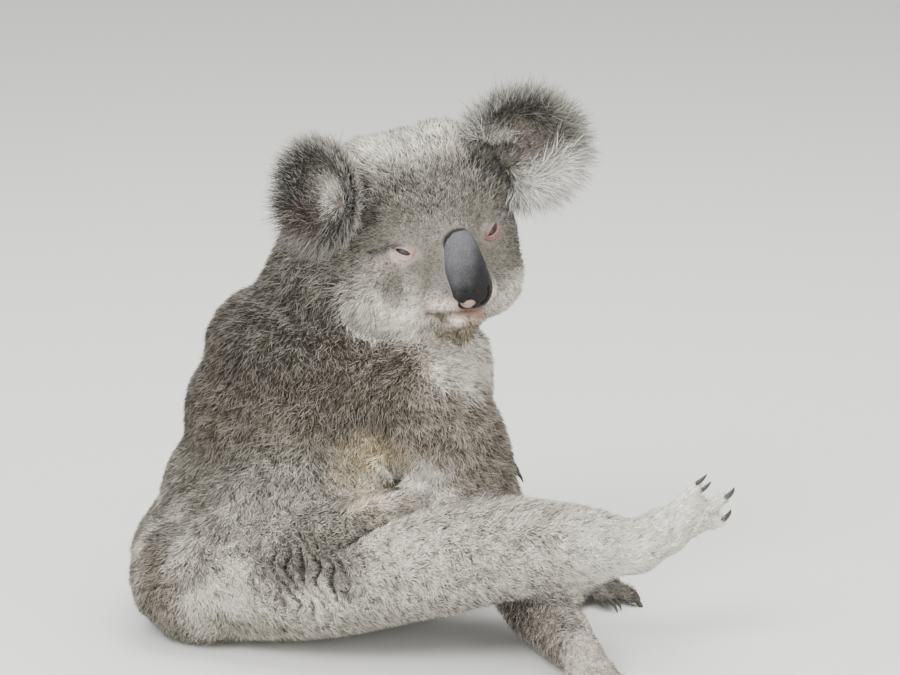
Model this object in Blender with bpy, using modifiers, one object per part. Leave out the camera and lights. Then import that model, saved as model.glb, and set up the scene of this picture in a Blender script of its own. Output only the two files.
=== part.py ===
"""A koala, life size, sitting on its rump with the right hind leg raised over the right forearm.

X runs the way the trunk faces, Y to the animal's left and Z up, in metres. The origin is on the floor
under the middle of the animal. Each solid reaches to the tips of the coat.
"""

import math

import bmesh
import bpy
from mathutils import Matrix, Vector

# Sizes that drive the rest, in metres.
GAP = 0.0006
FLOOR = 0.0
UNDER_MIDDLE = Vector((-0.0060, -0.0364, 0.0))
HEAD_CENTRE = Vector((-0.010, -0.030, 0.309))
HEAD_YAW = 25.0
HEAD_ROLL = 8.0
TRUNK_YAW = 10.0

EYE_RADIUS = 0.0085
EYE_FORWARD = 0.0412
EYE_SIDE = 0.0328
EYE_UP = -0.0060

NOSE_TOP = Vector((0.0630, 0.0010, -0.0065))
NOSE_MIDDLE = Vector((0.0675, 0.0018, -0.0230))
NOSE_BOTTOM = Vector((0.0700, 0.0025, -0.0365))

EAR_BOWL = 0.030
EAR_LOBES_LEFT = (
    (-0.024, 0.016, 0.036),
    (0.004, 0.006, 0.043),
    (0.019, -0.004, 0.037),
    (0.016, -0.020, 0.030),
)
EAR_LOBES_RIGHT = (
    (-0.010, 0.020, 0.027),
    (0.003, 0.006, 0.034),
    (0.006, -0.014, 0.031),
    (0.011, -0.030, 0.024),
)

CLAW_LENGTH_HAND = 0.019
CLAW_LENGTH_FOOT = 0.016
CLAW_LENGTH_GROOMING = 0.013
CLAW_RADIUS = 0.0028

# Joints of the limbs in the pose, each with the radius of the furred limb there.
HIP_RIGHT = (Vector((-0.140, -0.060, 0.056)), 0.061)
THIGH_RIGHT = (Vector((-0.070, -0.088, 0.068)), 0.057)
KNEE_RIGHT = (Vector((0.010, -0.105, 0.0770)), 0.0440)
SHANK_RIGHT = (Vector((0.060, -0.109, 0.0845)), 0.0390)
SHANK_LOW_RIGHT = (Vector((0.110, -0.108, 0.0855)), 0.0310)
ANKLE_RIGHT = (Vector((0.146, -0.105, 0.0825)), 0.0235)

HIP_LEFT = (Vector((-0.130, 0.068, 0.056)), 0.060)
THIGH_LEFT = (Vector((-0.065, 0.100, 0.051)), 0.053)
KNEE_LEFT = (Vector((0.000, 0.114, 0.0430)), 0.0445)
SHANK_LEFT = (Vector((0.045, 0.084, 0.0350)), 0.0370)
ANKLE_LEFT = (Vector((0.090, 0.042, 0.0225)), 0.0235)

SHOULDER_RIGHT = (Vector((-0.008, -0.068, 0.186)), 0.047)
UPPER_ARM_RIGHT = (Vector((0.014, -0.064, 0.146)), 0.0445)
ARM_LOW_RIGHT = (Vector((0.030, -0.050, 0.108)), 0.0355)
ELBOW_RIGHT = (Vector((0.049, -0.032, 0.064)), 0.0300)
FOREARM_RIGHT = (Vector((0.073, -0.072, 0.0300)), 0.0260)
FOREARM_LOW_RIGHT = (Vector((0.092, -0.118, 0.0235)), 0.0235)
WRIST_RIGHT = (Vector((0.106, -0.156, 0.0190)), 0.0190)

SHOULDER_LEFT = (Vector((-0.020, 0.068, 0.186)), 0.045)
UPPER_ARM_LEFT = (Vector((-0.065, 0.098, 0.168)), 0.040)
ELBOW_LEFT = (Vector((-0.112, 0.124, 0.142)), 0.0310)
FOREARM_LEFT = (Vector((-0.055, 0.126, 0.130)), 0.0270)
WRIST_LEFT = (Vector((0.002, 0.118, 0.108)), 0.0190)

# Which way the paws point, and where each big toe ends.
FOOT_RIGHT_AHEAD = Vector((0.87, 0.07, 0.49))
FOOT_LEFT_AHEAD = Vector((0.845, -0.52, -0.13))
HAND_RIGHT_AHEAD = Vector((0.25, -0.96, -0.06))
HAND_LEFT_AHEAD = Vector((0.92, -0.02, -0.34))
HALLUX_RIGHT = Vector((0.027, 0.004, -0.030))
HALLUX_LEFT = Vector((0.040, 0.030, -0.008))

FINE_VOXEL = 0.0018
HEAD_VOXEL = 0.0030
TRUNK_VOXEL = 0.0050

FUR_GREY = (0.36, 0.33, 0.30)
FUR_BROWN = (0.19, 0.165, 0.145)
FUR_PALE = (0.62, 0.58, 0.52)
EAR_GREY = (0.30, 0.29, 0.28)
NOSE_SLATE = (0.06, 0.06, 0.07)
EYE_BROWN = (0.05, 0.025, 0.02)
CLAW_BLACK = (0.03, 0.025, 0.02)


def clear_scene():
    for thing in list(bpy.data.objects):
        bpy.data.objects.remove(thing, do_unlink=True)


def material(name, colour, roughness):
    made = bpy.data.materials.new(name)
    made.use_nodes = True
    shader = made.node_tree.nodes["Principled BSDF"]
    shader.inputs["Base Color"].default_value = (*colour, 1.0)
    shader.inputs["Roughness"].default_value = roughness
    shader.inputs["Metallic"].default_value = 0.0
    return made


def frame_at(origin, forward, upward):
    """Axes forward, left and up at a point, as a 4 by 4 matrix."""
    ahead = forward.normalized()
    left = upward.cross(ahead).normalized()
    top = ahead.cross(left)
    turned = Matrix((ahead, left, top)).transposed().to_4x4()
    turned.translation = origin
    return turned


def head_frame():
    yaw = math.radians(HEAD_YAW)
    roll = math.radians(HEAD_ROLL)
    forward = Vector((math.sin(yaw), -math.cos(yaw), 0.0))
    left = Vector((math.cos(yaw), math.sin(yaw), 0.0))
    up = Vector((0.0, 0.0, math.cos(roll))) - left * math.sin(roll)
    return frame_at(HEAD_CENTRE, forward, up)


def ball(cage, frame, centre, size, detail=3):
    """Adds an ellipsoid whose half lengths along the frame's axes are size."""
    lengths = Matrix.Diagonal((*size, 1.0))
    place = frame @ Matrix.Translation(centre) @ lengths
    bmesh.ops.create_icosphere(cage, subdivisions=detail, radius=1.0, matrix=place)


def smooth_point(a, b, c, d, t):
    """A point of the Catmull-Rom curve between b and c."""
    return 0.5 * (2 * b + (c - a) * t + (2 * a - 5 * b + 4 * c - d) * t * t + (3 * b - a - 3 * c + d) * t**3)


def limb(cage, frame, joints, detail=3):
    """Adds a rounded limb that swells and bends smoothly through its joints."""
    ends = [joints[0], *joints, joints[-1]]
    for index in range(len(joints) - 1):
        a, b, c, d = ends[index : index + 4]
        reach = (c[0] - b[0]).length
        steps = max(2, math.ceil(reach / (0.25 * min(b[1], c[1]))))
        for step in range(steps + (index == len(joints) - 2)):
            t = step / steps
            centre = smooth_point(a[0], b[0], c[0], d[0], t)
            radius = smooth_point(a[1], b[1], c[1], d[1], t)
            ball(cage, frame, centre, (radius, radius, radius), detail)


def settled(thing):
    """Carries out an object's modifiers and leaves a plain mesh in their place."""
    graph = bpy.context.evaluated_depsgraph_get()
    mesh = bpy.data.meshes.new_from_object(thing.evaluated_get(graph))
    thing.modifiers.clear()
    thing.data = mesh
    return thing


def triangulated(thing):
    cage = bmesh.new()
    cage.from_mesh(thing.data)
    bmesh.ops.triangulate(cage, faces=cage.faces)
    cage.to_mesh(thing.data)
    cage.free()
    return thing


def flesh(name, cage, voxel, rounds, triangles):
    """One closed skin round all the overlapping shapes of a cage, softened and thinned."""
    mesh = bpy.data.meshes.new(name)
    cage.to_mesh(mesh)
    cage.free()
    made = bpy.data.objects.new(name, mesh)
    bpy.context.scene.collection.objects.link(made)
    join = made.modifiers.new("join", "REMESH")
    join.mode = "VOXEL"
    join.voxel_size = voxel
    soften = made.modifiers.new("soften", "SMOOTH")
    soften.factor = 0.5
    soften.iterations = rounds
    settled(triangulated(settled(made)))
    thin = made.modifiers.new("thin", "DECIMATE")
    thin.ratio = triangles / len(made.data.polygons)
    thin.use_collapse_triangulate = True
    return settled(made)


def sliced(thing, point, normal, name=None):
    """Cuts an object flat at a plane and closes it. What the normal points to is removed."""
    cage = bmesh.new()
    cage.from_mesh(thing.data)
    whole = cage.verts[:] + cage.edges[:] + cage.faces[:]
    cut = bmesh.ops.bisect_plane(
        cage, geom=whole, dist=1e-6, plane_co=point, plane_no=normal, clear_outer=True
    )
    rim = [part for part in cut["geom_cut"] if isinstance(part, bmesh.types.BMEdge)]
    bmesh.ops.holes_fill(cage, edges=rim, sides=0)
    bmesh.ops.triangulate(cage, faces=cage.faces)
    mesh = bpy.data.meshes.new(name or thing.name)
    cage.to_mesh(mesh)
    cage.free()
    if name is None:
        thing.data = mesh
        return thing
    made = bpy.data.objects.new(name, mesh)
    bpy.context.scene.collection.objects.link(made)
    return made


def parted(thing, names, planes):
    """Divides an object into lengths along its planes, leaving a thin gap at each one."""
    pieces = []
    for index, name in enumerate(names):
        piece = thing.copy()
        piece.data = thing.data.copy()
        piece.name = name
        bpy.context.scene.collection.objects.link(piece)
        if index > 0:
            point, normal = planes[index - 1]
            sliced(piece, point + normal.normalized() * GAP / 2, -normal)
        if index < len(planes):
            point, normal = planes[index]
            sliced(piece, point - normal.normalized() * GAP / 2, normal)
        pieces.append(piece)
    bpy.data.objects.remove(thing, do_unlink=True)
    return pieces


def on_floor(thing):
    """Flattens what would sink into the floor."""
    if min(corner[2] for corner in thing.bound_box) < FLOOR:
        sliced(thing, Vector((0.0, 0.0, FLOOR)), Vector((0.0, 0.0, -1.0)))
    return thing


def boxes_meet(one, other):
    for axis in range(3):
        low = max(min(v.co[axis] for v in one.data.vertices), min(v.co[axis] for v in other.data.vertices))
        high = min(max(v.co[axis] for v in one.data.vertices), max(v.co[axis] for v in other.data.vertices))
        if low > high + 2 * GAP:
            return False
    return True


def largest_body(thing):
    """Keeps the biggest closed body of an object and drops crumbs left by a cut."""
    cage = bmesh.new()
    cage.from_mesh(thing.data)
    bmesh.ops.remove_doubles(cage, verts=cage.verts, dist=1e-6)
    bmesh.ops.triangulate(cage, faces=cage.faces)
    loose = set(cage.faces)
    bodies = []
    while loose:
        body = []
        reached = [loose.pop()]
        while reached:
            face = reached.pop()
            body.append(face)
            for edge in face.edges:
                for beside in edge.link_faces:
                    if beside in loose:
                        loose.remove(beside)
                        reached.append(beside)
        bodies.append(body)
    bodies.sort(key=lambda body: sum(face.calc_area() for face in body))
    for body in bodies[:-1]:
        bmesh.ops.delete(cage, geom=body, context="FACES")
    cage.to_mesh(thing.data)
    cage.free()
    return thing


def whole_copy(thing):
    """A copy that stays uncut, for cutting others with. It is removed at the end."""
    spare = thing.copy()
    spare.data = thing.data.copy()
    spare.name = "spare"
    bpy.context.scene.collection.objects.link(spare)
    return spare


def cleared(thing, others):
    """Cuts away what other pieces take up, and a thin gap round them."""
    for other in others:
        if not boxes_meet(thing, other):
            continue
        cutter = whole_copy(other)
        swell = cutter.modifiers.new("swell", "DISPLACE")
        swell.mid_level = 0.0
        swell.strength = GAP
        settled(cutter)
        remove = thing.modifiers.new("remove", "BOOLEAN")
        remove.operation = "DIFFERENCE"
        remove.solver = "EXACT"
        remove.object = cutter
        settled(thing)
        bpy.data.objects.remove(cutter, do_unlink=True)
        largest_body(thing)
    return thing


def curved_claw(name, base, along, downward, length, radius):
    """A claw swept along a quarter bend, tapering to its tip."""
    path = bpy.data.curves.new(name, "CURVE")
    path.dimensions = "3D"
    path.bevel_depth = radius
    path.bevel_resolution = 1
    path.use_fill_caps = True
    spline = path.splines.new("POLY")
    stations = 4
    spline.points.add(stations - 1)
    ahead = along.normalized()
    down = (downward - ahead * downward.dot(ahead)).normalized()
    for index, point in enumerate(spline.points):
        t = index / (stations - 1)
        bend = 1.15 * t
        place = base + length * (ahead * math.sin(bend) + down * (1 - math.cos(bend)))
        point.co = (*place, 1.0)
        point.radius = 1.0 - 0.84 * t**1.4
    swept = bpy.data.objects.new(name, path)
    bpy.context.scene.collection.objects.link(swept)
    graph = bpy.context.evaluated_depsgraph_get()
    mesh = bpy.data.meshes.new_from_object(swept.evaluated_get(graph))
    bpy.data.objects.remove(swept, do_unlink=True)
    cage = bmesh.new()
    cage.from_mesh(mesh)
    bmesh.ops.remove_doubles(cage, verts=cage.verts, dist=1e-5)
    bmesh.ops.recalc_face_normals(cage, faces=cage.faces)
    bmesh.ops.triangulate(cage, faces=cage.faces)
    cage.to_mesh(mesh)
    cage.free()
    made = bpy.data.objects.new(name, mesh)
    bpy.context.scene.collection.objects.link(made)
    return made


def make_nose(head):
    """The leathery pad from between the eyes to the lip."""
    cage = bmesh.new()
    limb(cage, head, [(NOSE_TOP, 0.0125), (NOSE_MIDDLE, 0.0148), (NOSE_BOTTOM, 0.0160)])
    return flesh("nose", cage, FINE_VOXEL, 3, 240)


def make_eyes(head):
    eyes = []
    for name, side in (("eye_right", -1), ("eye_left", 1)):
        cage = bmesh.new()
        centre = Vector((EYE_FORWARD, side * EYE_SIDE, EYE_UP))
        ball(cage, head, centre, (EYE_RADIUS,) * 3, detail=2)
        mesh = bpy.data.meshes.new(name)
        cage.to_mesh(mesh)
        cage.free()
        eye = bpy.data.objects.new(name, mesh)
        bpy.context.scene.collection.objects.link(eye)
        eyes.append(eye)
    return eyes


def make_head(head):
    """Broad flat crown, deep cheeks and a short square muzzle."""
    cage = bmesh.new()
    ball(cage, head, Vector((-0.016, 0.0, 0.006)), (0.066, 0.070, 0.064))
    for side in (-1, 1):
        ball(cage, head, Vector((-0.012, side * 0.026, 0.012)), (0.060, 0.048, 0.060))
        ball(cage, head, Vector((0.004, side * 0.038, -0.022)), (0.044, 0.036, 0.046))
        ball(cage, head, Vector((0.010, side * 0.036, -0.044)), (0.040, 0.038, 0.038))
        ball(cage, head, Vector((0.054, side * 0.012, -0.041)), (0.021, 0.019, 0.018))
        ball(cage, head, Vector((0.034, side * 0.032, -0.0065)), (0.0165, 0.0150, 0.0150))
    ball(cage, head, Vector((0.022, 0.0, 0.010)), (0.034, 0.046, 0.042))
    ball(cage, head, Vector((0.042, 0.0, -0.012)), (0.030, 0.022, 0.030))
    ball(cage, head, Vector((0.050, 0.0, -0.036)), (0.025, 0.026, 0.024))
    ball(cage, head, Vector((0.045, 0.0, -0.059)), (0.019, 0.020, 0.014))
    ball(cage, head, Vector((0.014, 0.0, -0.064)), (0.034, 0.040, 0.028))
    return flesh("head", cage, HEAD_VOXEL, 6, 780)


def make_ear(head, name, side, centre, normal, lobes):
    """A round furred bowl that opens along its normal. A lobe is how far out, how far up, and its radius."""
    place = head @ centre
    face = frame_at(place, normal, head.to_3x3() @ Vector((0.0, 0.0, 1.0)))
    cage = bmesh.new()
    for outward, upward, radius in lobes:
        across = side * outward
        ball(cage, face, Vector((-0.004, across, upward)), (0.015, radius, radius))
    root = head @ Vector((-0.002, side * 0.054, 0.030))
    limb(cage, Matrix.Identity(4), [(root, 0.024), ((root + place) / 2 - normal * 0.008, 0.019)])
    ear = flesh(name, cage, 0.0025, 3, 220)
    scoop = bmesh.new()
    bowl_size = (0.012, EAR_BOWL * 0.9, EAR_BOWL)
    ball(scoop, face, Vector((0.013, 0.0, 0.0)), bowl_size, detail=2)
    mesh = bpy.data.meshes.new("scoop")
    scoop.to_mesh(mesh)
    scoop.free()
    bowl = bpy.data.objects.new("scoop", mesh)
    bpy.context.scene.collection.objects.link(bowl)
    hollow = ear.modifiers.new("hollow", "BOOLEAN")
    hollow.operation = "DIFFERENCE"
    hollow.solver = "EXACT"
    hollow.object = bowl
    settled(ear)
    bpy.data.objects.remove(bowl, do_unlink=True)
    return largest_body(ear)


def make_trunk():
    """The trunk, slumped forward from a broad rump, in three lengths, and the trunk uncut."""
    turn = Matrix.Rotation(math.radians(TRUNK_YAW), 4, "Z")
    forms = (
        ((-0.140, -0.006, 0.046), (0.092, 0.104, 0.064)),
        ((-0.162, -0.048, 0.044), (0.068, 0.066, 0.056)),
        ((-0.158, 0.040, 0.044), (0.066, 0.064, 0.056)),
        ((-0.118, 0.000, 0.086), (0.092, 0.101, 0.084)),
        ((-0.100, -0.048, 0.102), (0.078, 0.060, 0.064)),
        ((-0.100, 0.046, 0.102), (0.078, 0.060, 0.064)),
        ((-0.062, 0.004, 0.100), (0.092, 0.090, 0.086)),
        ((-0.088, 0.000, 0.156), (0.103, 0.092, 0.080)),
        ((-0.088, 0.000, 0.210), (0.086, 0.084, 0.054)),
        ((-0.040, -0.044, 0.186), (0.058, 0.052, 0.056)),
        ((-0.046, 0.044, 0.186), (0.058, 0.050, 0.056)),
        ((-0.002, -0.020, 0.190), (0.049, 0.056, 0.060)),
    )
    cage = bmesh.new()
    for centre, size in forms:
        ball(cage, Matrix.Translation(centre) @ turn, Vector((0, 0, 0)), size, detail=4)
    trunk = on_floor(flesh("trunk", cage, TRUNK_VOXEL, 8, 620))
    whole = whole_copy(trunk)
    spine = Vector((0.25, 0.0, 0.97))
    planes = ((Vector((-0.10, 0.0, 0.098)), spine), (Vector((-0.08, 0.0, 0.160)), spine))
    return *parted(trunk, ("rump", "belly", "chest"), planes), whole


def make_neck():
    cage = bmesh.new()
    limb(
        cage,
        Matrix.Identity(4),
        [
            (Vector((-0.078, -0.002, 0.238)), 0.060),
            (Vector((-0.054, -0.012, 0.270)), 0.064),
            (Vector((-0.020, -0.024, 0.280)), 0.050),
        ],
    )
    return flesh("neck", cage, TRUNK_VOXEL, 3, 150)


def digit(cage, paw, root, tip, radius):
    limb(cage, paw, [(root, radius * 1.15), ((root + tip) / 2, radius * 1.05), (tip, radius)], detail=2)


def make_foot(side, name, ankle, forward, dorsal, hallux_tip):
    """Hind foot: a clawless big toe, two joined grooming toes, and two large outer toes."""
    paw = frame_at(ankle, forward, dorsal)
    inward = 1 if side == "right" else -1
    cage = bmesh.new()
    ball(cage, paw, Vector((0.0, 0.0, 0.0)), (0.0235, 0.0235, 0.0225))
    ball(cage, paw, Vector((0.020, -inward * 0.001, -0.003)), (0.028, 0.0205, 0.0175))
    ball(cage, paw, Vector((0.042, -inward * 0.001, -0.005)), (0.022, 0.0175, 0.0130))
    ball(cage, paw, Vector((-0.004, 0.0, -0.010)), (0.018, 0.017, 0.0135))
    toes = (
        (Vector((0.040, inward * 0.009, -0.005)), Vector((0.0600, inward * 0.0150, -0.007)), 0.0070),
        (Vector((0.048, -inward * 0.001, -0.006)), Vector((0.0730, -inward * 0.003, -0.009)), 0.0068),
        (Vector((0.042, -inward * 0.009, -0.006)), Vector((0.0630, -inward * 0.0165, -0.009)), 0.0066),
    )
    for root, tip, radius in toes:
        digit(cage, paw, root, tip, radius)
    hallux_root = Vector((0.018, inward * 0.010, -0.008))
    hallux = Vector((hallux_tip.x, inward * hallux_tip.y, hallux_tip.z))
    digit(cage, paw, hallux_root, hallux, 0.0090)
    foot = flesh(f"foot_{side}", cage, FINE_VOXEL, 3, 290)
    turn = paw.to_3x3()
    grooming = toes[0][1]
    spread = Vector((0.0, inward * 0.0032, 0.0))
    tips = (
        ("2", grooming + spread, CLAW_LENGTH_GROOMING),
        ("3", grooming - spread, CLAW_LENGTH_GROOMING),
        ("4", toes[1][1], CLAW_LENGTH_FOOT),
        ("5", toes[2][1], CLAW_LENGTH_FOOT),
    )
    claws = []
    for number, tip, length in tips:
        base = paw @ (tip + Vector((0.0015, 0.0, 0.0022)))
        along = turn @ Vector((0.94, 0.0, -0.10 if number in "23" else -0.35))
        down = turn @ Vector((0.0, 0.0, -1.0))
        radius = CLAW_RADIUS * (0.80 if number in "23" else 1.0)
        claws.append(curved_claw(f"claw_{name}_{number}", base, along, down, length, radius))
    return foot, claws


def make_hand(side, wrist, forward, dorsal):
    """Fore paw: two digits that oppose the other three, all with strong claws."""
    paw = frame_at(wrist, forward, dorsal)
    inward = 1 if side == "right" else -1
    cage = bmesh.new()
    ball(cage, paw, Vector((0.0, 0.0, 0.0)), (0.0190, 0.0190, 0.0180))
    ball(cage, paw, Vector((0.020, 0.0, -0.003)), (0.025, 0.0195, 0.0145))
    ball(cage, paw, Vector((0.034, 0.0, -0.006)), (0.014, 0.0210, 0.0110))
    fan = (
        ("1", 0.013, 46.0, 0.026, 0.026),
        ("2", 0.013, 22.0, 0.036, 0.028),
        ("3", 0.004, 2.0, 0.040, 0.030),
        ("4", -0.006, -11.0, 0.038, 0.030),
        ("5", -0.013, -27.0, 0.034, 0.026),
    )
    turn = paw.to_3x3()
    claws = []
    for number, across, angle, start, length in fan:
        heading = math.radians(angle) * inward
        root = Vector((start, inward * across, -0.008))
        reach = Vector((math.cos(heading), math.sin(heading), 0.0))
        tip = root + reach * (length - 0.008)
        tip.z = -0.0095
        digit(cage, paw, root, tip, 0.0072)
        base = paw @ (tip + reach * 0.002 + Vector((0.0, 0.0, 0.0024)))
        along = turn @ (reach + Vector((0.0, 0.0, 0.10)))
        down = turn @ Vector((0.0, 0.0, -1.0))
        claws.append(
            curved_claw(f"claw_hand_{side}_{number}", base, along, down, CLAW_LENGTH_HAND * 0.8, CLAW_RADIUS)
        )
    return flesh(f"hand_{side}", cage, FINE_VOXEL, 3, 310), claws


def make_leg(side, joints, ankle):
    """Thigh and shank as one smooth limb, parted at the knee and the ankle, and the limb uncut."""
    cage = bmesh.new()
    limb(cage, Matrix.Identity(4), joints)
    leg = flesh(f"leg_{side}", cage, 0.0035, 4, 300)
    whole = whole_copy(leg)
    knee = joints[2][0]
    into_knee = joints[2][0] - joints[1][0]
    out_of_knee = joints[3][0] - joints[2][0]
    ankle_cut = joints[-1][0] - ankle * 0.012
    planes = ((knee, into_knee.normalized() + out_of_knee.normalized()), (ankle_cut, ankle))
    thigh, shank, stub = parted(leg, (f"thigh_{side}", f"shank_{side}", f"stub_{side}"), planes)
    return thigh, shank, whole


def make_arm(side, joints, elbow_index, ahead):
    """Upper arm and forearm as one smooth limb, parted at the elbow and the wrist, and the limb uncut."""
    cage = bmesh.new()
    limb(cage, Matrix.Identity(4), joints)
    arm = flesh(f"arm_{side}", cage, 0.0030, 4, 250)
    whole = whole_copy(arm)
    elbow = joints[elbow_index][0]
    into_elbow = (elbow - joints[elbow_index - 1][0]).normalized()
    out_of_elbow = (joints[elbow_index + 1][0] - elbow).normalized()
    wrist_cut = joints[-1][0] - ahead * 0.008
    planes = ((elbow, into_elbow + out_of_elbow), (wrist_cut, ahead))
    names = (f"upper_arm_{side}", f"forearm_{side}", f"stub_{side}")
    upper, fore, stub = parted(arm, names, planes)
    return upper, fore, whole


def finish(thing, surface, collection):
    """Gives a piece its material, soft shading, its place in the world and an origin in its own middle."""
    low = Vector(min(vertex.co[axis] for vertex in thing.data.vertices) for axis in range(3))
    high = Vector(max(vertex.co[axis] for vertex in thing.data.vertices) for axis in range(3))
    middle = (low + high) / 2
    thing.data.transform(Matrix.Translation(-middle))
    thing.location = middle - UNDER_MIDDLE
    thing.data.materials.clear()
    thing.data.materials.append(surface)
    thing.data.shade_smooth()
    for holder in list(thing.users_collection):
        holder.objects.unlink(thing)
    collection.objects.link(thing)


def build_head(axes):
    """Head, jaw, nose, eyes and ears, and the head uncut."""
    nose = make_nose(axes)
    eyes = make_eyes(axes)
    head = make_head(axes)
    whole = whole_copy(head)
    turn = axes.to_3x3()
    hinge = axes @ Vector((0.030, 0.0, -0.0505))
    hinge_normal = (turn @ Vector((0.10, 0.0, 1.0))).normalized()
    jaw = sliced(head, hinge - hinge_normal * GAP, hinge_normal, "jaw")
    sliced(jaw, axes @ Vector((0.030, 0.0, -0.050)), turn @ Vector((-1.0, 0.0, -0.25)))
    largest_body(jaw)
    cleared(head, [nose, *eyes, jaw])
    place_right = Vector((0.010, -0.0815, 0.0445))
    place_left = Vector((0.010, 0.0860, 0.0390))
    ears = [
        make_ear(axes, "ear_right", -1, place_right, Vector((-0.50, -0.86, 0.05)), EAR_LOBES_RIGHT),
        make_ear(axes, "ear_left", 1, place_left, Vector((0.20, -0.97, 0.12)), EAR_LOBES_LEFT),
    ]
    return head, jaw, nose, eyes, ears, whole


def build():
    clear_scene()
    head, jaw, nose, eyes, ears, whole_head = build_head(head_frame())
    neck = make_neck()
    whole_neck = whole_copy(neck)
    rump, belly, chest, whole_trunk = make_trunk()
    cleared(neck, [whole_head])
    for ear in ears:
        cleared(ear, [whole_head, whole_neck])
    cleared(chest, [whole_head, whole_neck])

    ankle_right = ANKLE_RIGHT[0]
    ankle_left = ANKLE_LEFT[0]
    leg_right = [HIP_RIGHT, THIGH_RIGHT, KNEE_RIGHT, SHANK_RIGHT, SHANK_LOW_RIGHT, ANKLE_RIGHT]
    leg_left = [HIP_LEFT, THIGH_LEFT, KNEE_LEFT, SHANK_LEFT, ANKLE_LEFT]
    down_right = (ankle_right - SHANK_LOW_RIGHT[0]).normalized()
    down_left = (ankle_left - SHANK_LEFT[0]).normalized()
    thigh_right, shank_right, whole_leg_right = make_leg("right", leg_right, down_right)
    thigh_left, shank_left, whole_leg_left = make_leg("left", leg_left, down_left)
    foot_right, claws_right = make_foot(
        "right", "foot_right", ankle_right, FOOT_RIGHT_AHEAD, Vector((0, -1, 0)), HALLUX_RIGHT
    )
    foot_left, claws_left = make_foot(
        "left", "foot_left", ankle_left, FOOT_LEFT_AHEAD, Vector((0, 0, 1)), HALLUX_LEFT
    )

    arm_right = [SHOULDER_RIGHT, UPPER_ARM_RIGHT, ARM_LOW_RIGHT, ELBOW_RIGHT]
    arm_right += [FOREARM_RIGHT, FOREARM_LOW_RIGHT, WRIST_RIGHT]
    arm_left = [SHOULDER_LEFT, UPPER_ARM_LEFT, ELBOW_LEFT, FOREARM_LEFT, WRIST_LEFT]
    reach_right = (WRIST_RIGHT[0] - FOREARM_LOW_RIGHT[0]).normalized()
    reach_left = (WRIST_LEFT[0] - FOREARM_LEFT[0]).normalized()
    upper_right, fore_right, whole_arm_right = make_arm("right", arm_right, 3, reach_right)
    upper_left, fore_left, whole_arm_left = make_arm("left", arm_left, 2, reach_left)
    hand_right, hand_claws_right = make_hand("right", WRIST_RIGHT[0], HAND_RIGHT_AHEAD, Vector((0, 0, 1)))
    hand_left, hand_claws_left = make_hand("left", WRIST_LEFT[0], HAND_LEFT_AHEAD, Vector((0.3, 0, 0.95)))

    for piece in (thigh_right, thigh_left, shank_left, fore_right, foot_left, hand_right):
        on_floor(piece)
    for claw in (*claws_left, *hand_claws_right):
        on_floor(claw)
    cleared(thigh_right, [whole_trunk])
    cleared(thigh_left, [whole_trunk])
    cleared(shank_left, [whole_trunk])
    cleared(upper_right, [whole_trunk, whole_neck, whole_head, whole_leg_right])
    cleared(upper_left, [whole_trunk, whole_neck, whole_head, whole_leg_left])
    cleared(fore_right, [whole_trunk, whole_leg_right, whole_leg_left])
    cleared(fore_left, [whole_trunk, whole_leg_left])
    cleared(foot_right, [shank_right, *claws_right, whole_arm_right])
    cleared(foot_left, [shank_left, *claws_left, whole_arm_right])
    cleared(hand_right, [fore_right, *hand_claws_right])
    cleared(hand_left, [fore_left, *hand_claws_left, whole_leg_left])

    animal = bpy.data.collections.new("koala")
    bpy.context.scene.collection.children.link(animal)
    grey = material("fur_grey", FUR_GREY, 0.95)
    brown = material("fur_brown", FUR_BROWN, 0.95)
    pale = material("fur_pale", FUR_PALE, 0.95)
    ear_fur = material("fur_ear", EAR_GREY, 0.95)
    leather = material("nose_leather", NOSE_SLATE, 0.55)
    wet = material("eye_wet", EYE_BROWN, 0.08)
    horn = material("claw_horn", CLAW_BLACK, 0.35)
    sets = (
        (grey, (head, neck, rump, belly, chest, thigh_right, thigh_left, shank_right, shank_left)),
        (brown, (upper_right, upper_left, fore_right, fore_left)),
        (pale, (jaw, foot_right, foot_left, hand_right, hand_left)),
        (ear_fur, ears),
        (leather, (nose,)),
        (wet, eyes),
        (horn, (*claws_right, *claws_left, *hand_claws_right, *hand_claws_left)),
    )
    for surface, pieces in sets:
        for piece in pieces:
            finish(piece, surface, animal)
    for thing in list(bpy.data.objects):
        if thing.name not in animal.objects:
            bpy.data.objects.remove(thing, do_unlink=True)


build()
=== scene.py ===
"""Looks of the sitting koala: one skin under the coat, the coat in solid tufts, nose, eyes and claws."""

import math

import bmesh
import bpy
import numpy as np
from mathutils import Matrix, Vector, noise
from mathutils.bvhtree import BVHTree
from mathutils.kdtree import KDTree


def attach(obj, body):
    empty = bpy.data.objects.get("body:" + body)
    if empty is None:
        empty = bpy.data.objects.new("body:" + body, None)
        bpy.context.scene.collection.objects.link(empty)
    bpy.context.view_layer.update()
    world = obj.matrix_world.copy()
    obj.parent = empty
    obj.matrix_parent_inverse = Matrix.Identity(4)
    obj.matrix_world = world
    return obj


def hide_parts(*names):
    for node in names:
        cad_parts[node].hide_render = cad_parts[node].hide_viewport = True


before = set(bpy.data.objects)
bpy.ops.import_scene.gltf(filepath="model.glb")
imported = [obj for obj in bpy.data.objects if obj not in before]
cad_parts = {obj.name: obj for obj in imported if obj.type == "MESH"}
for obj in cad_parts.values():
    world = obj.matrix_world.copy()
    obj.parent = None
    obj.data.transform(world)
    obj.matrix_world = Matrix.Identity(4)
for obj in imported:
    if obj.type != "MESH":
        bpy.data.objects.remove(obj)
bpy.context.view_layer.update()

# ---------------------------------------------------------------------------------------------------
# The skin: one closed hide over head, trunk and limbs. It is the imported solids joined, smoothed where
# the muscle is smooth, and drawn in under the tips of the coat by half of the fur's length at each place.
# ---------------------------------------------------------------------------------------------------
SIDES = ("right", "left")
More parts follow.
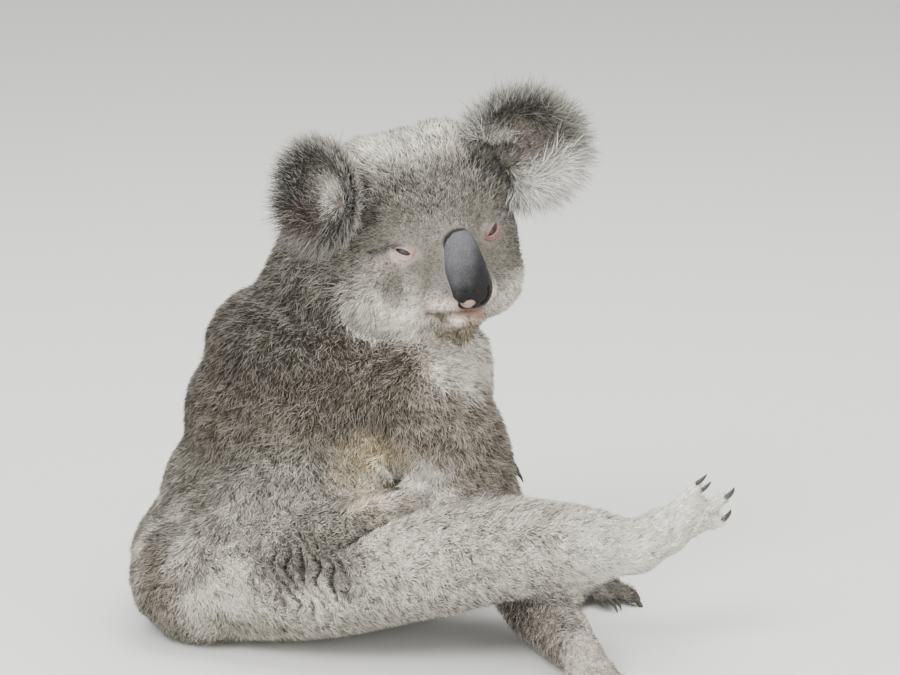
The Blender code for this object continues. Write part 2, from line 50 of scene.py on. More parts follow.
FLESH = ["head", "jaw", "neck", "chest", "belly", "rump"]
LIMB_PARTS = ("thigh", "shank", "foot", "upper_arm", "forearm", "hand")
FLESH += [f"{part}_{side}" for part in LIMB_PARTS for side in SIDES]
SKIN_VOXEL = 0.0021
SEAM = 0.0008

# Fur of each part: length in metres, how much the flesh under it is smoothed, colour.
FUR = {
    "head": (0.0080, 0.28, (0.235, 0.216, 0.175)),
    "jaw": (0.0070, 0.28, (0.54, 0.49, 0.41)),
    "neck": (0.0135, 0.50, (0.235, 0.22, 0.178)),
    "chest": (0.0105, 0.50, (0.222, 0.192, 0.148)),
    "belly": (0.0105, 0.50, (0.245, 0.226, 0.172)),
    "rump": (0.0100, 0.50, (0.30, 0.28, 0.222)),
    "thigh": (0.0095, 0.50, (0.66, 0.62, 0.53)),
    "shank": (0.0090, 0.45, (0.60, 0.565, 0.49)),
    "foot": (0.0060, 0.16, (0.92, 0.87, 0.74)),
    "upper_arm": (0.0105, 0.50, (0.30, 0.250, 0.197)),
    "forearm": (0.0090, 0.45, (0.26, 0.232, 0.188)),
    "hand": (0.0050, 0.16, (0.52, 0.48, 0.41)),
}
HEAD_PLACE = Vector((-0.0040, 0.0064, 0.3090))
HEAD_YAW = math.radians(25.0)
HEAD_ROLL = math.radians(8.0)


def kind_of(name):
    return name.rsplit("_", 1)[0] if name.rsplit("_", 1)[-1] in SIDES else name


def axes_at(place, forward, upward):
    """Axes forward, left and up at a place, as a 4 by 4 matrix."""
    ahead = Vector(forward).normalized()
    left = Vector(upward).cross(ahead).normalized()
    turned = Matrix((ahead, left, ahead.cross(left))).transposed().to_4x4()
    turned.translation = place
    return turned


head_ahead = Vector((math.sin(HEAD_YAW), -math.cos(HEAD_YAW), 0.0))
head_across = Vector((math.cos(HEAD_YAW), math.sin(HEAD_YAW), 0.0))
head_up = Vector((0, 0, math.cos(HEAD_ROLL))) - head_across * math.sin(HEAD_ROLL)
HEAD = axes_at(HEAD_PLACE, head_ahead, head_up)


def in_head(points):
    """Row-frame points as forward, left and up of the head."""
    turn = np.array(HEAD.to_3x3())
    return (points - np.array(HEAD_PLACE)) @ turn


def smooth_step(low, high, values):
    t = np.clip((values - low) / (high - low), 0.0, 1.0)
    return t * t * (3.0 - 2.0 * t)


def patch(points, centre, radii, edge=0.35):
    """1 inside a soft ellipsoid, 0 outside it."""
    reach = np.linalg.norm((points - np.array(centre)) / np.array(radii), axis=1)
    return 1.0 - smooth_step(1.0 - edge, 1.0 + edge, reach)


def mesh_from(cage, name):
    """Turns a working cage into a mesh and frees the cage."""
    made = bpy.data.meshes.new(name)
    cage.to_mesh(made)
    cage.free()
    return made


def joined_solids(names, swell):
    """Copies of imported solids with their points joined, swollen a little so that the parting gaps close."""
    whole = bmesh.new()
    owners = []
    for name in names:
        cage = bmesh.new()
        cage.from_mesh(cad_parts[name].data)
        bmesh.ops.remove_doubles(cage, verts=cage.verts, dist=1e-6)
        cage.normal_update()
        for vertex in cage.verts:
            vertex.co += vertex.normal * swell
        part = mesh_from(cage, "part")
        owners += [name] * len(part.polygons)
        whole.from_mesh(part)
        bpy.data.meshes.remove(part)
    return whole, owners


def settled(thing):
    """Carries out an object's modifiers and leaves a plain mesh."""
    graph = bpy.context.evaluated_depsgraph_get()
    made = bpy.data.meshes.new_from_object(thing.evaluated_get(graph))
    thing.modifiers.clear()
    thing.data = made
    return thing


def new_object(name, mesh):
    made = bpy.data.objects.new(name, mesh)
    bpy.context.scene.collection.objects.link(made)
    return made


def points_of(mesh):
    flat = np.empty(len(mesh.vertices) * 3, np.float32)
    mesh.vertices.foreach_get("co", flat)
    return flat.reshape(-1, 3).astype(float)


def triangles_of(mesh):
    mesh.calc_loop_triangles()
    flat = np.empty(len(mesh.loop_triangles) * 3, np.int32)
    mesh.loop_triangles.foreach_get("vertices", flat)
    return flat.reshape(-1, 3)


def edges_of(mesh):
    flat = np.empty(len(mesh.edges) * 2, np.int32)
    mesh.edges.foreach_get("vertices", flat)
    return flat.reshape(-1, 2)


def unit(vectors):
    return vectors / np.maximum(np.linalg.norm(vectors, axis=1, keepdims=True), 1e-12)


def vertex_normals(points, triangles):
    a, b, c = (points[triangles[:, i]] for i in range(3))
    face = np.cross(b - a, c - a)
    total = np.zeros_like(points)
    for corner in range(3):
        for axis in range(3):
            total[:, axis] += np.bincount(triangles[:, corner], face[:, axis], len(points))
    return unit(total)


def relaxed(values, edges, share, rounds):
    """Lets each point's value move towards the mean of its neighbours, a share of the way each round."""
    values = np.array(values, float)
    flat = values.reshape(len(values), -1)
    share = np.broadcast_to(np.asarray(share, float).reshape(-1, 1), (len(values), 1))
    count = np.maximum(np.bincount(edges.ravel(), minlength=len(values)), 1)[:, None]
    for _ in range(rounds):
        total = np.empty_like(flat)
        for axis in range(flat.shape[1]):
            total[:, axis] = np.bincount(edges[:, 0], flat[edges[:, 1], axis], len(values))
            total[:, axis] += np.bincount(edges[:, 1], flat[edges[:, 0], axis], len(values))
        flat = flat + share * (total / count - flat)
    return flat.reshape(values.shape)


solids, solid_owner = joined_solids(FLESH, 0.0)
near_solid = BVHTree.FromBMesh(solids)
solids.free()


def owner_of(points):
    """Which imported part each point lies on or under."""
    return np.array([FLESH.index(solid_owner[near_solid.find_nearest(Vector(p))[2]]) for p in points])


# The ears spring from short roots that the hide takes in.
EAR_PLACE = {"right": Vector((0.010, -0.0815, 0.0445)), "left": Vector((0.010, 0.0860, 0.0390))}
EAR_FACING = {"right": Vector((-0.50, -0.86, 0.05)), "left": Vector((0.20, -0.97, 0.12))}
EAR_ROOT_SIZES = ((0.0, 0.017), (0.35, 0.015), (0.65, 0.012))

hide, _ = joined_solids(FLESH + ["nose", "eye_right", "eye_left"], SEAM)
for side, sign in (("right", -1), ("left", 1)):
    root = HEAD @ Vector((-0.002, sign * 0.054, 0.030))
    tip = HEAD @ EAR_PLACE[side] - EAR_FACING[side].normalized() * 0.006
    for share, radius in EAR_ROOT_SIZES:
        spot = Matrix.Translation(root.lerp(tip, share))
        bmesh.ops.create_icosphere(hide, subdivisions=3, radius=radius, matrix=spot)
skin = new_object("skin", mesh_from(hide, "hide"))
join = skin.modifiers.new("join", "REMESH")
join.mode = "VOXEL"
join.voxel_size = SKIN_VOXEL
settled(skin)

points = points_of(skin.data)
edges = edges_of(skin.data)
triangles = triangles_of(skin.data)
owner = owner_of(points)
kinds = [kind_of(name) for name in FLESH]
smoothing = np.array([FUR[kind][1] for kind in kinds])[owner]
smoothing = relaxed(smoothing, edges, 0.5, 12)
points = relaxed(points, edges, smoothing, 16)


def head_fur(place):
    """Length of the fur over the head, from velvet on the muzzle to fluff on the jowls and nape."""
    local = in_head(place)
    from_nose = np.linalg.norm(local - np.array((0.060, 0.0, -0.025)), axis=1)
    length = np.clip(0.0030 + (from_nose - 0.022) * 0.075, 0.0030, 0.0072)
    for side in (-1, 1):
        eye = np.linalg.norm(local - np.array((0.0412, side * 0.0328, -0.006)), axis=1)
        length = np.minimum(length, 0.0016 + 0.30 * np.maximum(eye - 0.0095, 0.0))
        length += 0.0075 * patch(local, (0.006, side * 0.066, -0.046), (0.034, 0.022, 0.028), 0.5)
    length += 0.0060 * (1.0 - smooth_step(-0.045, -0.012, local[:, 0]))
    length += 0.0040 * patch(local, (0.020, 0.0, -0.082), (0.03, 0.05, 0.02), 0.5)
    length += 0.0050 * smooth_step(0.040, 0.064, local[:, 2])
    length += 0.0060 * patch(local, (0.024, 0.042, 0.052), (0.030, 0.016, 0.030), 0.5)
    return length


def fur_length(place, which, edge_list):
    """Length of the coat at each point, blended from part to part."""
    length = np.array([FUR[kind][0] for kind in kinds])[which]
    on_head = np.isin(which, [FLESH.index("head"), FLESH.index("jaw")])
    length = np.where(on_head, head_fur(place), length)
    return relaxed(length, edge_list, 0.5, 60)


# The tufts lean over, so the skin is drawn in by only this share of the fur's length.
DRAWN_IN = 0.50
depth = DRAWN_IN * fur_length(points, owner, edges)
normals = vertex_normals(points, triangles)
normals = unit(relaxed(normals, edges, 0.5, 4))
points = points - normals * depth[:, None]
SKIN_OVER_FLOOR = 0.0006
points[:, 2] = np.maximum(points[:, 2], SKIN_OVER_FLOOR)

# Folds: the loose skin that gathers where the flank meets the raised thigh, and the groin's ripples.
FOLDS = (
    # points along the fold, how far the skin sinks (+) or stands (-), half width
    (((-0.036, -0.034, 0.148), (-0.024, -0.034, 0.126)), -0.0125, 0.0105),
    (((-0.017, -0.045, 0.141), (-0.013, -0.046, 0.130)), 0.0036, 0.0030),
    (((-0.014, -0.046, 0.128), (0.003, -0.056, 0.122)), -0.0095, 0.0070),
    (((-0.004, -0.055, 0.125), (-0.029, -0.077, 0.121), (-0.062, -0.090, 0.107)), -0.0065, 0.0085),
    (((0.008, -0.064, 0.118), (-0.025, -0.088, 0.1135), (-0.070, -0.101, 0.0895)), 0.0100, 0.0046),
)
RIPPLE_PLACE, RIPPLE_REACH = (-0.086, -0.095, 0.069), (0.034, 0.045, 0.034)
RIPPLE_DEPTH, RIPPLE_STEP = 0.0042, 0.0092


def ripples(place):
    """The loose skin of the groin, gathered in wavy upright ripples: -1 on a crest and 1 in a trough."""
    sway = 0.004 * np.sin(place[:, 2] * 190.0 + place[:, 0] * 60.0)
    sway += 0.0012 * np.sin(place[:, 2] * 300.0 - place[:, 0] * 150.0 + 1.3)
    wave = np.sin((place[:, 0] + 0.45 * place[:, 2] + sway) * 2 * math.pi / RIPPLE_STEP)
    uneven = 0.84 + 0.16 * np.sin(place[:, 2] * 150.0 + place[:, 0] * 210.0)
    return wave * uneven * patch(place, RIPPLE_PLACE, RIPPLE_REACH, 0.5)


def fold_depth(place):
    """How far each point sinks into a crease or stands on a fold."""
    total = RIPPLE_DEPTH * ripples(place)
    for path, sink, half in FOLDS:
        nearest, where = np.full(len(place), 1.0), np.zeros(len(place))
        for step, (a, b) in enumerate(zip(path, path[1:])):
            a, b = np.array(a), np.array(b)
            along = np.clip(((place - a) @ (b - a)) / ((b - a) @ (b - a)), 0.0, 1.0)
            away = np.linalg.norm(place - (a + along[:, None] * (b - a)), axis=1)
            where = np.where(away < nearest, (step + along) / (len(path) - 1), where)
            nearest = np.minimum(nearest, away)
        fade = smooth_step(-0.02, 0.14, where) * (1 - smooth_step(0.86, 1.02, where))
        total += sink * fade * np.exp(-((nearest / half) ** 2))
    return total


folded = fold_depth(points)
points = points - vertex_normals(points, triangles) * folded[:, None]
# The hide runs smoothly over the right ankle and wrist, with no step where the paw begins.
EVENED_JOINTS = (
    # middle and half lengths of the smoothed hide: right ankle, right wrist
    ((0.150, -0.080, 0.084), (0.026, 0.050, 0.045)),
    ((0.108, -0.112, 0.022), (0.024, 0.026, 0.040)),
)
even = relaxed(points, edges_of(skin.data), 0.5, 90)
for joint, reach in EVENED_JOINTS:
    near_joint = patch(points, joint, reach, 0.6)
    points = points + (even - points) * near_joint[:, None]
points[:, 2] = np.maximum(points[:, 2], SKIN_OVER_FLOOR)
skin.data.vertices.foreach_set("co", points.astype(np.float32).ravel())
skin.data.update()

# Thin the even trunk, keep head and paws dense, then refine the front of the face.
SKIN_FACES = 96000
keep = skin.vertex_groups.new(name="thin")
fine = np.isin(owner, [i for i, kind in enumerate(kinds) if kind in ("head", "jaw", "foot", "hand")])
keep.add([int(i) for i in np.flatnonzero(~fine)], 1.0, "REPLACE")
thin = skin.modifiers.new("thin", "DECIMATE")
thin.ratio = SKIN_FACES / len(triangles)
thin.vertex_group = keep.name
thin.use_collapse_triangulate = True
settled(skin)
skin.vertex_groups.clear()

MUZZLE_MIDDLE, MUZZLE_REACH = np.array((0.062, 0.0, -0.040)), 0.046


def refine(mesh, chosen):
    """Divides the chosen faces' edges in two."""
    cage = bmesh.new()
    cage.from_mesh(mesh)
    where = np.array([vertex.co for vertex in cage.verts])
    picked = chosen(in_head(where))
    cage.verts.ensure_lookup_table()
    cuts = [edge for edge in cage.edges if picked[edge.verts[0].index] and picked[edge.verts[1].index]]
    bmesh.ops.subdivide_edges(cage, edges=cuts, cuts=1, use_grid_fill=True, smooth=0.0)
    bmesh.ops.triangulate(cage, faces=cage.faces)
    cage.to_mesh(mesh)
    cage.free()


refine(skin.data, lambda local: np.linalg.norm(local - MUZZLE_MIDDLE, axis=1) < MUZZLE_REACH)
points = points_of(skin.data)
edges = edges_of(skin.data)
triangles = triangles_of(skin.data)
local = in_head(points)
muzzle = np.linalg.norm(local - MUZZLE_MIDDLE, axis=1) < MUZZLE_REACH * 1.1
points = relaxed(points, edges, np.where(muzzle, 0.5, 0.0), 3)

# The nose pad sits in a bed that the skin dips to make.
pad_cage, _ = joined_solids(["nose"], 0.0)
pad_tree = BVHTree.FromBMesh(pad_cage)
pad_cage.free()
PAD_MIDDLE, PAD_AREA = np.array((0.068, 0.002, -0.024)), 0.044
BED_DEPTH = 0.0045


def pad_reach(places):
    """Distance of each point from the nose pad's solid: below 0 inside it, 1 far from it."""
    reach = np.full(len(places), 1.0)
    for index in np.flatnonzero(np.linalg.norm(in_head(places) - PAD_MIDDLE, axis=1) < PAD_AREA):
        spot, facing, _, away = pad_tree.find_nearest(Vector(places[index]))
        inside = (Vector(places[index]) - spot).dot(facing) < 0
        reach[index] = -away if inside else away
    return reach


bed = BED_DEPTH * (1 - smooth_step(-0.0008, 0.0004, pad_reach(points)))
bed = relaxed(bed, edges, 0.5, 2)
points = points - bed[:, None] * unit(relaxed(vertex_normals(points, triangles), edges, 0.5, 6))

# The mouth is a soft slit that turns up at its corners, under a split upper lip.
MOUTH_MIDDLE = (0.0035, -0.0560)


def mouth_line(local):
    """Height above the mouth line, and how far across from its middle a point lies."""
    aside = local[:, 1] - MOUTH_MIDDLE[0]
    return local[:, 2] - (MOUTH_MIDDLE[1] + 9.0 * aside**2 - 0.12 * aside), np.abs(aside)


normals = vertex_normals(points, triangles)
local = in_head(points)
above, across = mouth_line(local)
front = smooth_step(0.020, 0.045, local[:, 0]) * (1 - smooth_step(0.019, 0.025, across))
groove = np.exp(-((above / 0.0013) ** 2)) * front
upper_lip = np.exp(-(((above - 0.0040) / 0.0030) ** 2)) * front * smooth_step(0.010, 0.016, across)
lower_lip = np.exp(-(((above + 0.0055) / 0.0040) ** 2)) * front * (1 - smooth_step(0.013, 0.020, across))
cheek_fold = patch(local, (0.047, -0.040, -0.020), (0.016, 0.006, 0.020), 0.6)
cheek_fold += patch(local, (0.047, 0.040, -0.020), (0.016, 0.006, 0.020), 0.6)
cheek_fold += 1.6 * patch(local, (0.054, -0.0205, -0.060), (0.014, 0.0030, 0.0085), 0.7)
cheek_fold += 1.6 * patch(local, (0.054, 0.0265, -0.060), (0.014, 0.0030, 0.0085), 0.7)
cheek_fold += 1.8 * patch(local, (0.050, 0.003, -0.0765), (0.020, 0.022, 0.0035), 0.7)
cheek_fold += patch(local, (0.0435, -0.0450, -0.0015), (0.010, 0.0070, 0.0018), 0.7)
chin = patch(local, (0.058, 0.001, -0.0655), (0.022, 0.0200, 0.0078), 0.7)
CHIN_PUSH = 0.0078
points = points + CHIN_PUSH * chin[:, None] * (np.array(head_ahead) + np.array((0, 0, 0.25)))
raised = 0.0010 * upper_lip + 0.0024 * lower_lip - 0.0026 * groove - 0.0012 * cheek_fold
points = points + normals * raised[:, None]
lips = np.exp(-((above / 0.0024) ** 2)) * front * (1 - smooth_step(0.014, 0.020, across))
lip_line = np.exp(-((above / 0.0011) ** 2)) * front
skin.data.vertices.foreach_set("co", points.astype(np.float32).ravel())
skin.data.update()

# Eyelids: thick rims that close on the eyeball to a narrow slit, with a crease above and a bag below.
EYE_RADIUS = 0.0085
EYE_PLACE = {"right": Vector((0.0412, -0.0328, -0.0060)), "left": Vector((0.0412, 0.0328, -0.0060))}
EYE_FACING = {"right": Vector((0.885, -0.42, 0.16)), "left": Vector((0.885, 0.42, 0.16))}
# half width of the open slit, and how far it opens above and below, in degrees
SLIT = {"right": (36.0, 11.0, 10.0), "left": (46.0, 17.0, 14.0)}
SLIT_TILT = math.radians(27.0)
LID_ROWS, LID_COLUMNS = 16, 64
LID_REACH = math.radians(74.0)
LID_THICKNESS = 0.0014
skin_tree = BVHTree.FromPolygons([tuple(p) for p in points], [tuple(int(i) for i in t) for t in triangles])


def eye_axes(side):
    """Axes of an eye: out along its gaze, to the animal's left, and up, its outer corner tilted high."""
    sign = 1 if side == "left" else -1
    turn = HEAD.to_3x3()
    gaze = (turn @ EYE_FACING[side]).normalized()
    level = axes_at(HEAD @ EYE_PLACE[side], gaze, turn @ Vector((0, 0, 1)))
    return level @ Matrix.Rotation(sign * SLIT_TILT, 4, "X")


def lids(side):
    """A ring of skin from the slit's margin out over the eyeball to the cheek, as points and faces."""
    axes = eye_axes(side)
    centre = np.array(axes.translation)
    turn = np.array(axes.to_3x3())
    half_width, top, bottom = (math.radians(angle) for angle in SLIT[side])
    rows = []
    for row in range(LID_ROWS):
        spread = max(0.0, (row - 2) / (LID_ROWS - 3)) ** 1.1
        ring = []
        for column in range(LID_COLUMNS):
            around = 2 * math.pi * column / LID_COLUMNS
            c, s = math.cos(around), math.sin(around)
            tall = top if s > 0 else bottom
            margin = np.array((half_width * c, tall * math.copysign(abs(s) ** 1.15, s)))
            angle = margin * (1 - spread) + LID_REACH * np.array((c, s)) * spread
            reach = float(np.linalg.norm(angle))
            heading = angle / max(reach, 1e-9)
            sine = math.sin(reach)
            way = turn @ np.array((math.cos(reach), heading[0] * sine, heading[1] * sine))
            cheek = skin_tree.ray_cast(Vector(centre), Vector(way), 0.060)[3] or EYE_RADIUS
            if row == 0:
                radius = EYE_RADIUS + 0.0001
            elif row == 1:
                radius = EYE_RADIUS + 0.0009
            else:
                lip = 0.0005 * math.exp(-(((spread - 0.06) / 0.08) ** 2))
                crease = math.exp(-(((spread - 0.30) / 0.08) ** 2)) * (0.0011 if s > 0 else 0.0006)
                ball = EYE_RADIUS + LID_THICKNESS + lip - crease
                over = min(cheek + 0.0006, EYE_RADIUS + 0.0070) - 0.0018 * smooth_step(0.72, 1.0, spread)
                blend = smooth_step(0.30, 0.90, spread)
                radius = ball * (1 - blend) + over * blend
            ring.append(centre + way * radius)
        rows.append(ring)
    made = np.array(rows).reshape(-1, 3)
    faces = []
    for row in range(LID_ROWS - 1):
        for column in range(LID_COLUMNS):
            a = row * LID_COLUMNS + column
            b = row * LID_COLUMNS + (column + 1) % LID_COLUMNS
            faces.append((a, a + LID_COLUMNS, b + LID_COLUMNS, b))
    share = np.repeat(np.arange(LID_ROWS) / (LID_ROWS - 1), LID_COLUMNS)
    return made, faces, share


# The ear's own skin is a thin bowl, pink inside, deeper at its base.
EAR_SKIN = {
    # half width and half height of the bare bowl, without its fringe
    "right": (0.025, 0.031),
    "left": (0.034, 0.031),
}
EAR_CENTRE_SHIFT = {"right": (-0.009, -0.002), "left": (-0.004, 0.001)}
EAR_RINGS, EAR_SPOKES = 9, 40
EAR_THICKNESS = 0.0030


def along_axes(axes, places):
    """Points as distances forward, left and up along a set of axes."""
    return (places - axes[:3, 3]) @ axes[:3, :3]


def ear_axes(side):
    return axes_at(HEAD @ EAR_PLACE[side], EAR_FACING[side], HEAD.to_3x3() @ Vector((0, 0, 1)))


def ear_point(side, out, around, back=0.0):
    """A point of the bowl: out from 0 at its middle to 1 at its rim, and back through its thickness."""
    wide, tall = EAR_SKIN[side]
    sign = 1 if side == "left" else -1
    shift_out, shift_up = EAR_CENTRE_SHIFT[side]
    across = sign * (shift_out + wide * out * math.cos(around))
    up = shift_up + tall * out * math.sin(around)
    ahead = -0.0065 + 0.0120 * out**2 - back
    return ear_axes(side) @ Vector((ahead, across, up))


def ear_bowl(side):
    """The bowl as a closed thin solid: points, faces, and how far inside the front each point is."""
    made, front = [], []
    for layer in (0, 1):
        for ring in range(1, EAR_RINGS + 1):
            out = ring / EAR_RINGS
            thick = EAR_THICKNESS * (1.0 - 0.75 * out**4)
            for spoke in range(EAR_SPOKES):
                around = 2 * math.pi * spoke / EAR_SPOKES
                made.append(ear_point(side, out, around, layer * thick))
                front.append(1.0 - layer)
        made.append(ear_point(side, 0.0, 0.0, layer * EAR_THICKNESS))
        front.append(1.0 - layer)
    size = EAR_RINGS * EAR_SPOKES + 1
    faces = []
    for layer in (0, 1):
        base = layer * size
        for spoke in range(EAR_SPOKES):
            after = (spoke + 1) % EAR_SPOKES
            quad = [(base + size - 1, base + spoke, base + after)]
            for ring in range(EAR_RINGS - 1):
                a = base + ring * EAR_SPOKES + spoke
                b = base + ring * EAR_SPOKES + after
                quad.append((a, a + EAR_SPOKES, b + EAR_SPOKES, b))
            faces += [face if layer == 0 else face[::-1] for face in quad]
    rim = (EAR_RINGS - 1) * EAR_SPOKES
    for spoke in range(EAR_SPOKES):
        after = (spoke + 1) % EAR_SPOKES
        faces.append((rim + spoke, size + rim + spoke, size + rim + after, rim + after))
    return np.array([tuple(p) for p in made]), faces, np.array(front)


# Lids and ears become part of the one skin. Bare says how naked the skin is, from 0 furred to 1 bare.
all_points = [points]
all_faces = [[tuple(int(i) for i in t) for t in triangles]]
owner = owner_of(points)
all_owner = [owner]
all_bare = [np.clip(lips * 0.9, 0, 1)]
all_lid = [np.zeros(len(points))]
LID_OWNER, EAR_OWNER = len(FLESH), {"right": len(FLESH) + 1, "left": len(FLESH) + 2}
start = len(points)
for side in SIDES:
    made, faces, share = lids(side)
    all_points.append(made)
    all_faces.append([tuple(i + start for i in face) for face in faces])
    all_owner.append(np.full(len(made), LID_OWNER))
    all_bare.append(1 - smooth_step(0.10, 0.34, share))
    all_lid.append(np.maximum(1e-3, share))
    start += len(made)
for side in SIDES:
    made, faces, front = ear_bowl(side)
    all_points.append(made)
    all_faces.append([tuple(i + start for i in face) for face in faces])
    all_owner.append(np.full(len(made), EAR_OWNER[side]))
    all_bare.append(front * 0.55)
    all_lid.append(np.zeros(len(made)))
    start += len(made)
points = np.concatenate(all_points)
owner = np.concatenate(all_owner)
bare = np.concatenate(all_bare)
lid_share = np.concatenate(all_lid)
whole = bpy.data.meshes.new("skin")
whole.from_pydata([tuple(p) for p in points], [], [face for group in all_faces for face in group])
whole.validate()
cage = bmesh.new()
cage.from_mesh(whole)
bmesh.ops.recalc_face_normals(cage, faces=cage.faces)
bmesh.ops.triangulate(cage, faces=cage.faces)
cage.to_mesh(whole)
cage.free()
whole.shade_smooth()
skin.data = whole
points = points_of(whole)
edges = edges_of(whole)
triangles = triangles_of(whole)
normals = vertex_normals(points, triangles)

# ---------------------------------------------------------------------------------------------------
# Markings: the colour of the coat at each point of the skin, worked out once and shared by the skin
# and every tuft on it. Dark brown-grey shoulders and arms, paler flanks and legs, cream feet, a white
# chest and chin, and a mottled rump. Some marks among them are painted shade and painted light.
# ---------------------------------------------------------------------------------------------------
WHITE = (0.87, 0.825, 0.71)
CREAM = (0.74, 0.68, 0.55)
PALE_GREY = (0.48, 0.455, 0.395)
MID_GREY = (0.245, 0.228, 0.183)
SHOULDER_BROWN = (0.122, 0.100, 0.072)
DARK_GREY = (0.070, 0.064, 0.055)
TAN = (0.70, 0.565, 0.38)
LIP_PINK = (0.40, 0.235, 0.20)
LIP_DARK = (0.12, 0.055, 0.045)
LID_PINK = (0.37, 0.28, 0.245)
# Round the left eye the rims are redder, and painted darker, as shade on the face's left side.
EYE_CORNER_PINK = {"right": (0.50, 0.27, 0.245), "left": (0.27, 0.135, 0.12)}
UNDER_LID = {"right": (0.62, 0.50, 0.45), "left": (0.26, 0.155, 0.135)}
LEFT_EYE_RING = (0.21, 0.135, 0.125)
EYE_AREA = 0.018
LID_EDGE = (0.060, 0.030, 0.030)
NOSE_BLACK = (0.020, 0.018, 0.018)
EAR_PINK = (0.17, 0.115, 0.105)
# A brownish stain, also laid as painted shade in the grooves beside the chin.
STAIN_AND_SHADE = (0.24, 0.185, 0.13)
EAR_BAND = (0.046, 0.042, 0.036)
EAR_WHITE = (0.60, 0.58, 0.52)
PAD_LEATHER = (0.050, 0.042, 0.040)
# place, half lengths, colour, strength; in the order they are laid on
BODY_MARKS = (
    ((-0.130, 0.030, 0.225), (0.085, 0.110, 0.075), SHOULDER_BROWN, 0.80),
    ((-0.170, 0.000, 0.160), (0.045, 0.090, 0.070), SHOULDER_BROWN, 0.45),
    ((-0.058, -0.045, 0.205), (0.048, 0.045, 0.034), SHOULDER_BROWN, 0.85),
    # Painted shade over the upper back.
    ((-0.110, -0.040, 0.232), (0.050, 0.080, 0.034), (0.085, 0.075, 0.056), 0.75),
    ((-0.100, -0.060, 0.120), (0.080, 0.040, 0.028), PALE_GREY, 0.40),
    ((0.045, 0.042, 0.190), (0.045, 0.056, 0.065), WHITE, 0.90),
    ((0.031, -0.036, 0.217), (0.036, 0.040, 0.021), WHITE, 1.0),
    # The throat under the chin: tan fur, painted darker as shade under the chin.
    ((0.030, -0.020, 0.236), (0.030, 0.040, 0.010), (0.58, 0.51, 0.35), 0.80),
    ((0.030, 0.060, 0.110), (0.060, 0.075, 0.060), CREAM, 0.75),
    ((-0.196, -0.045, 0.050), (0.022, 0.036, 0.024), STAIN_AND_SHADE, 0.65),
    ((-0.120, -0.085, 0.018), (0.075, 0.045, 0.013), CREAM, 0.80),
    ((-0.082, -0.095, 0.072), (0.036, 0.035, 0.036), MID_GREY, 0.85),
    ((-0.110, -0.090, 0.060), (0.030, 0.035, 0.030), MID_GREY, 0.55),
    ((-0.160, -0.078, 0.048), (0.022, 0.034, 0.014), WHITE, 1.0),
    ((-0.134, -0.086, 0.054), (0.012, 0.034, 0.018), WHITE, 1.0),
    ((-0.079, -0.100, 0.046), (0.024, 0.036, 0.021), WHITE, 1.0),
    ((-0.031, -0.046, 0.142), (0.034, 0.030, 0.024), TAN, 1.0),
    ((-0.022, -0.066, 0.1255), (0.036, 0.030, 0.0125), (0.82, 0.71, 0.50), 0.95),
    ((-0.008, -0.056, 0.130), (0.028, 0.028, 0.014), (0.92, 0.89, 0.80), 1.0),
    ((0.150, -0.078, 0.082), (0.052, 0.056, 0.048), (0.92, 0.87, 0.75), 1.0),
    # The left foot's toes under the right leg: dark pads and claws, with painted shade over the fur.
    ((0.158, 0.036, 0.014), (0.042, 0.034, 0.026), (0.13, 0.12, 0.10), 0.90),
    ((-0.030, -0.095, 0.028), (0.060, 0.040, 0.016), (0.42, 0.39, 0.33), 0.60),
    ((0.060, -0.060, 0.026), (0.020, 0.030, 0.026), MID_GREY, 0.60),
    ((-0.220, -0.030, 0.075), (0.022, 0.060, 0.030), SHOULDER_BROWN, 0.60),
)
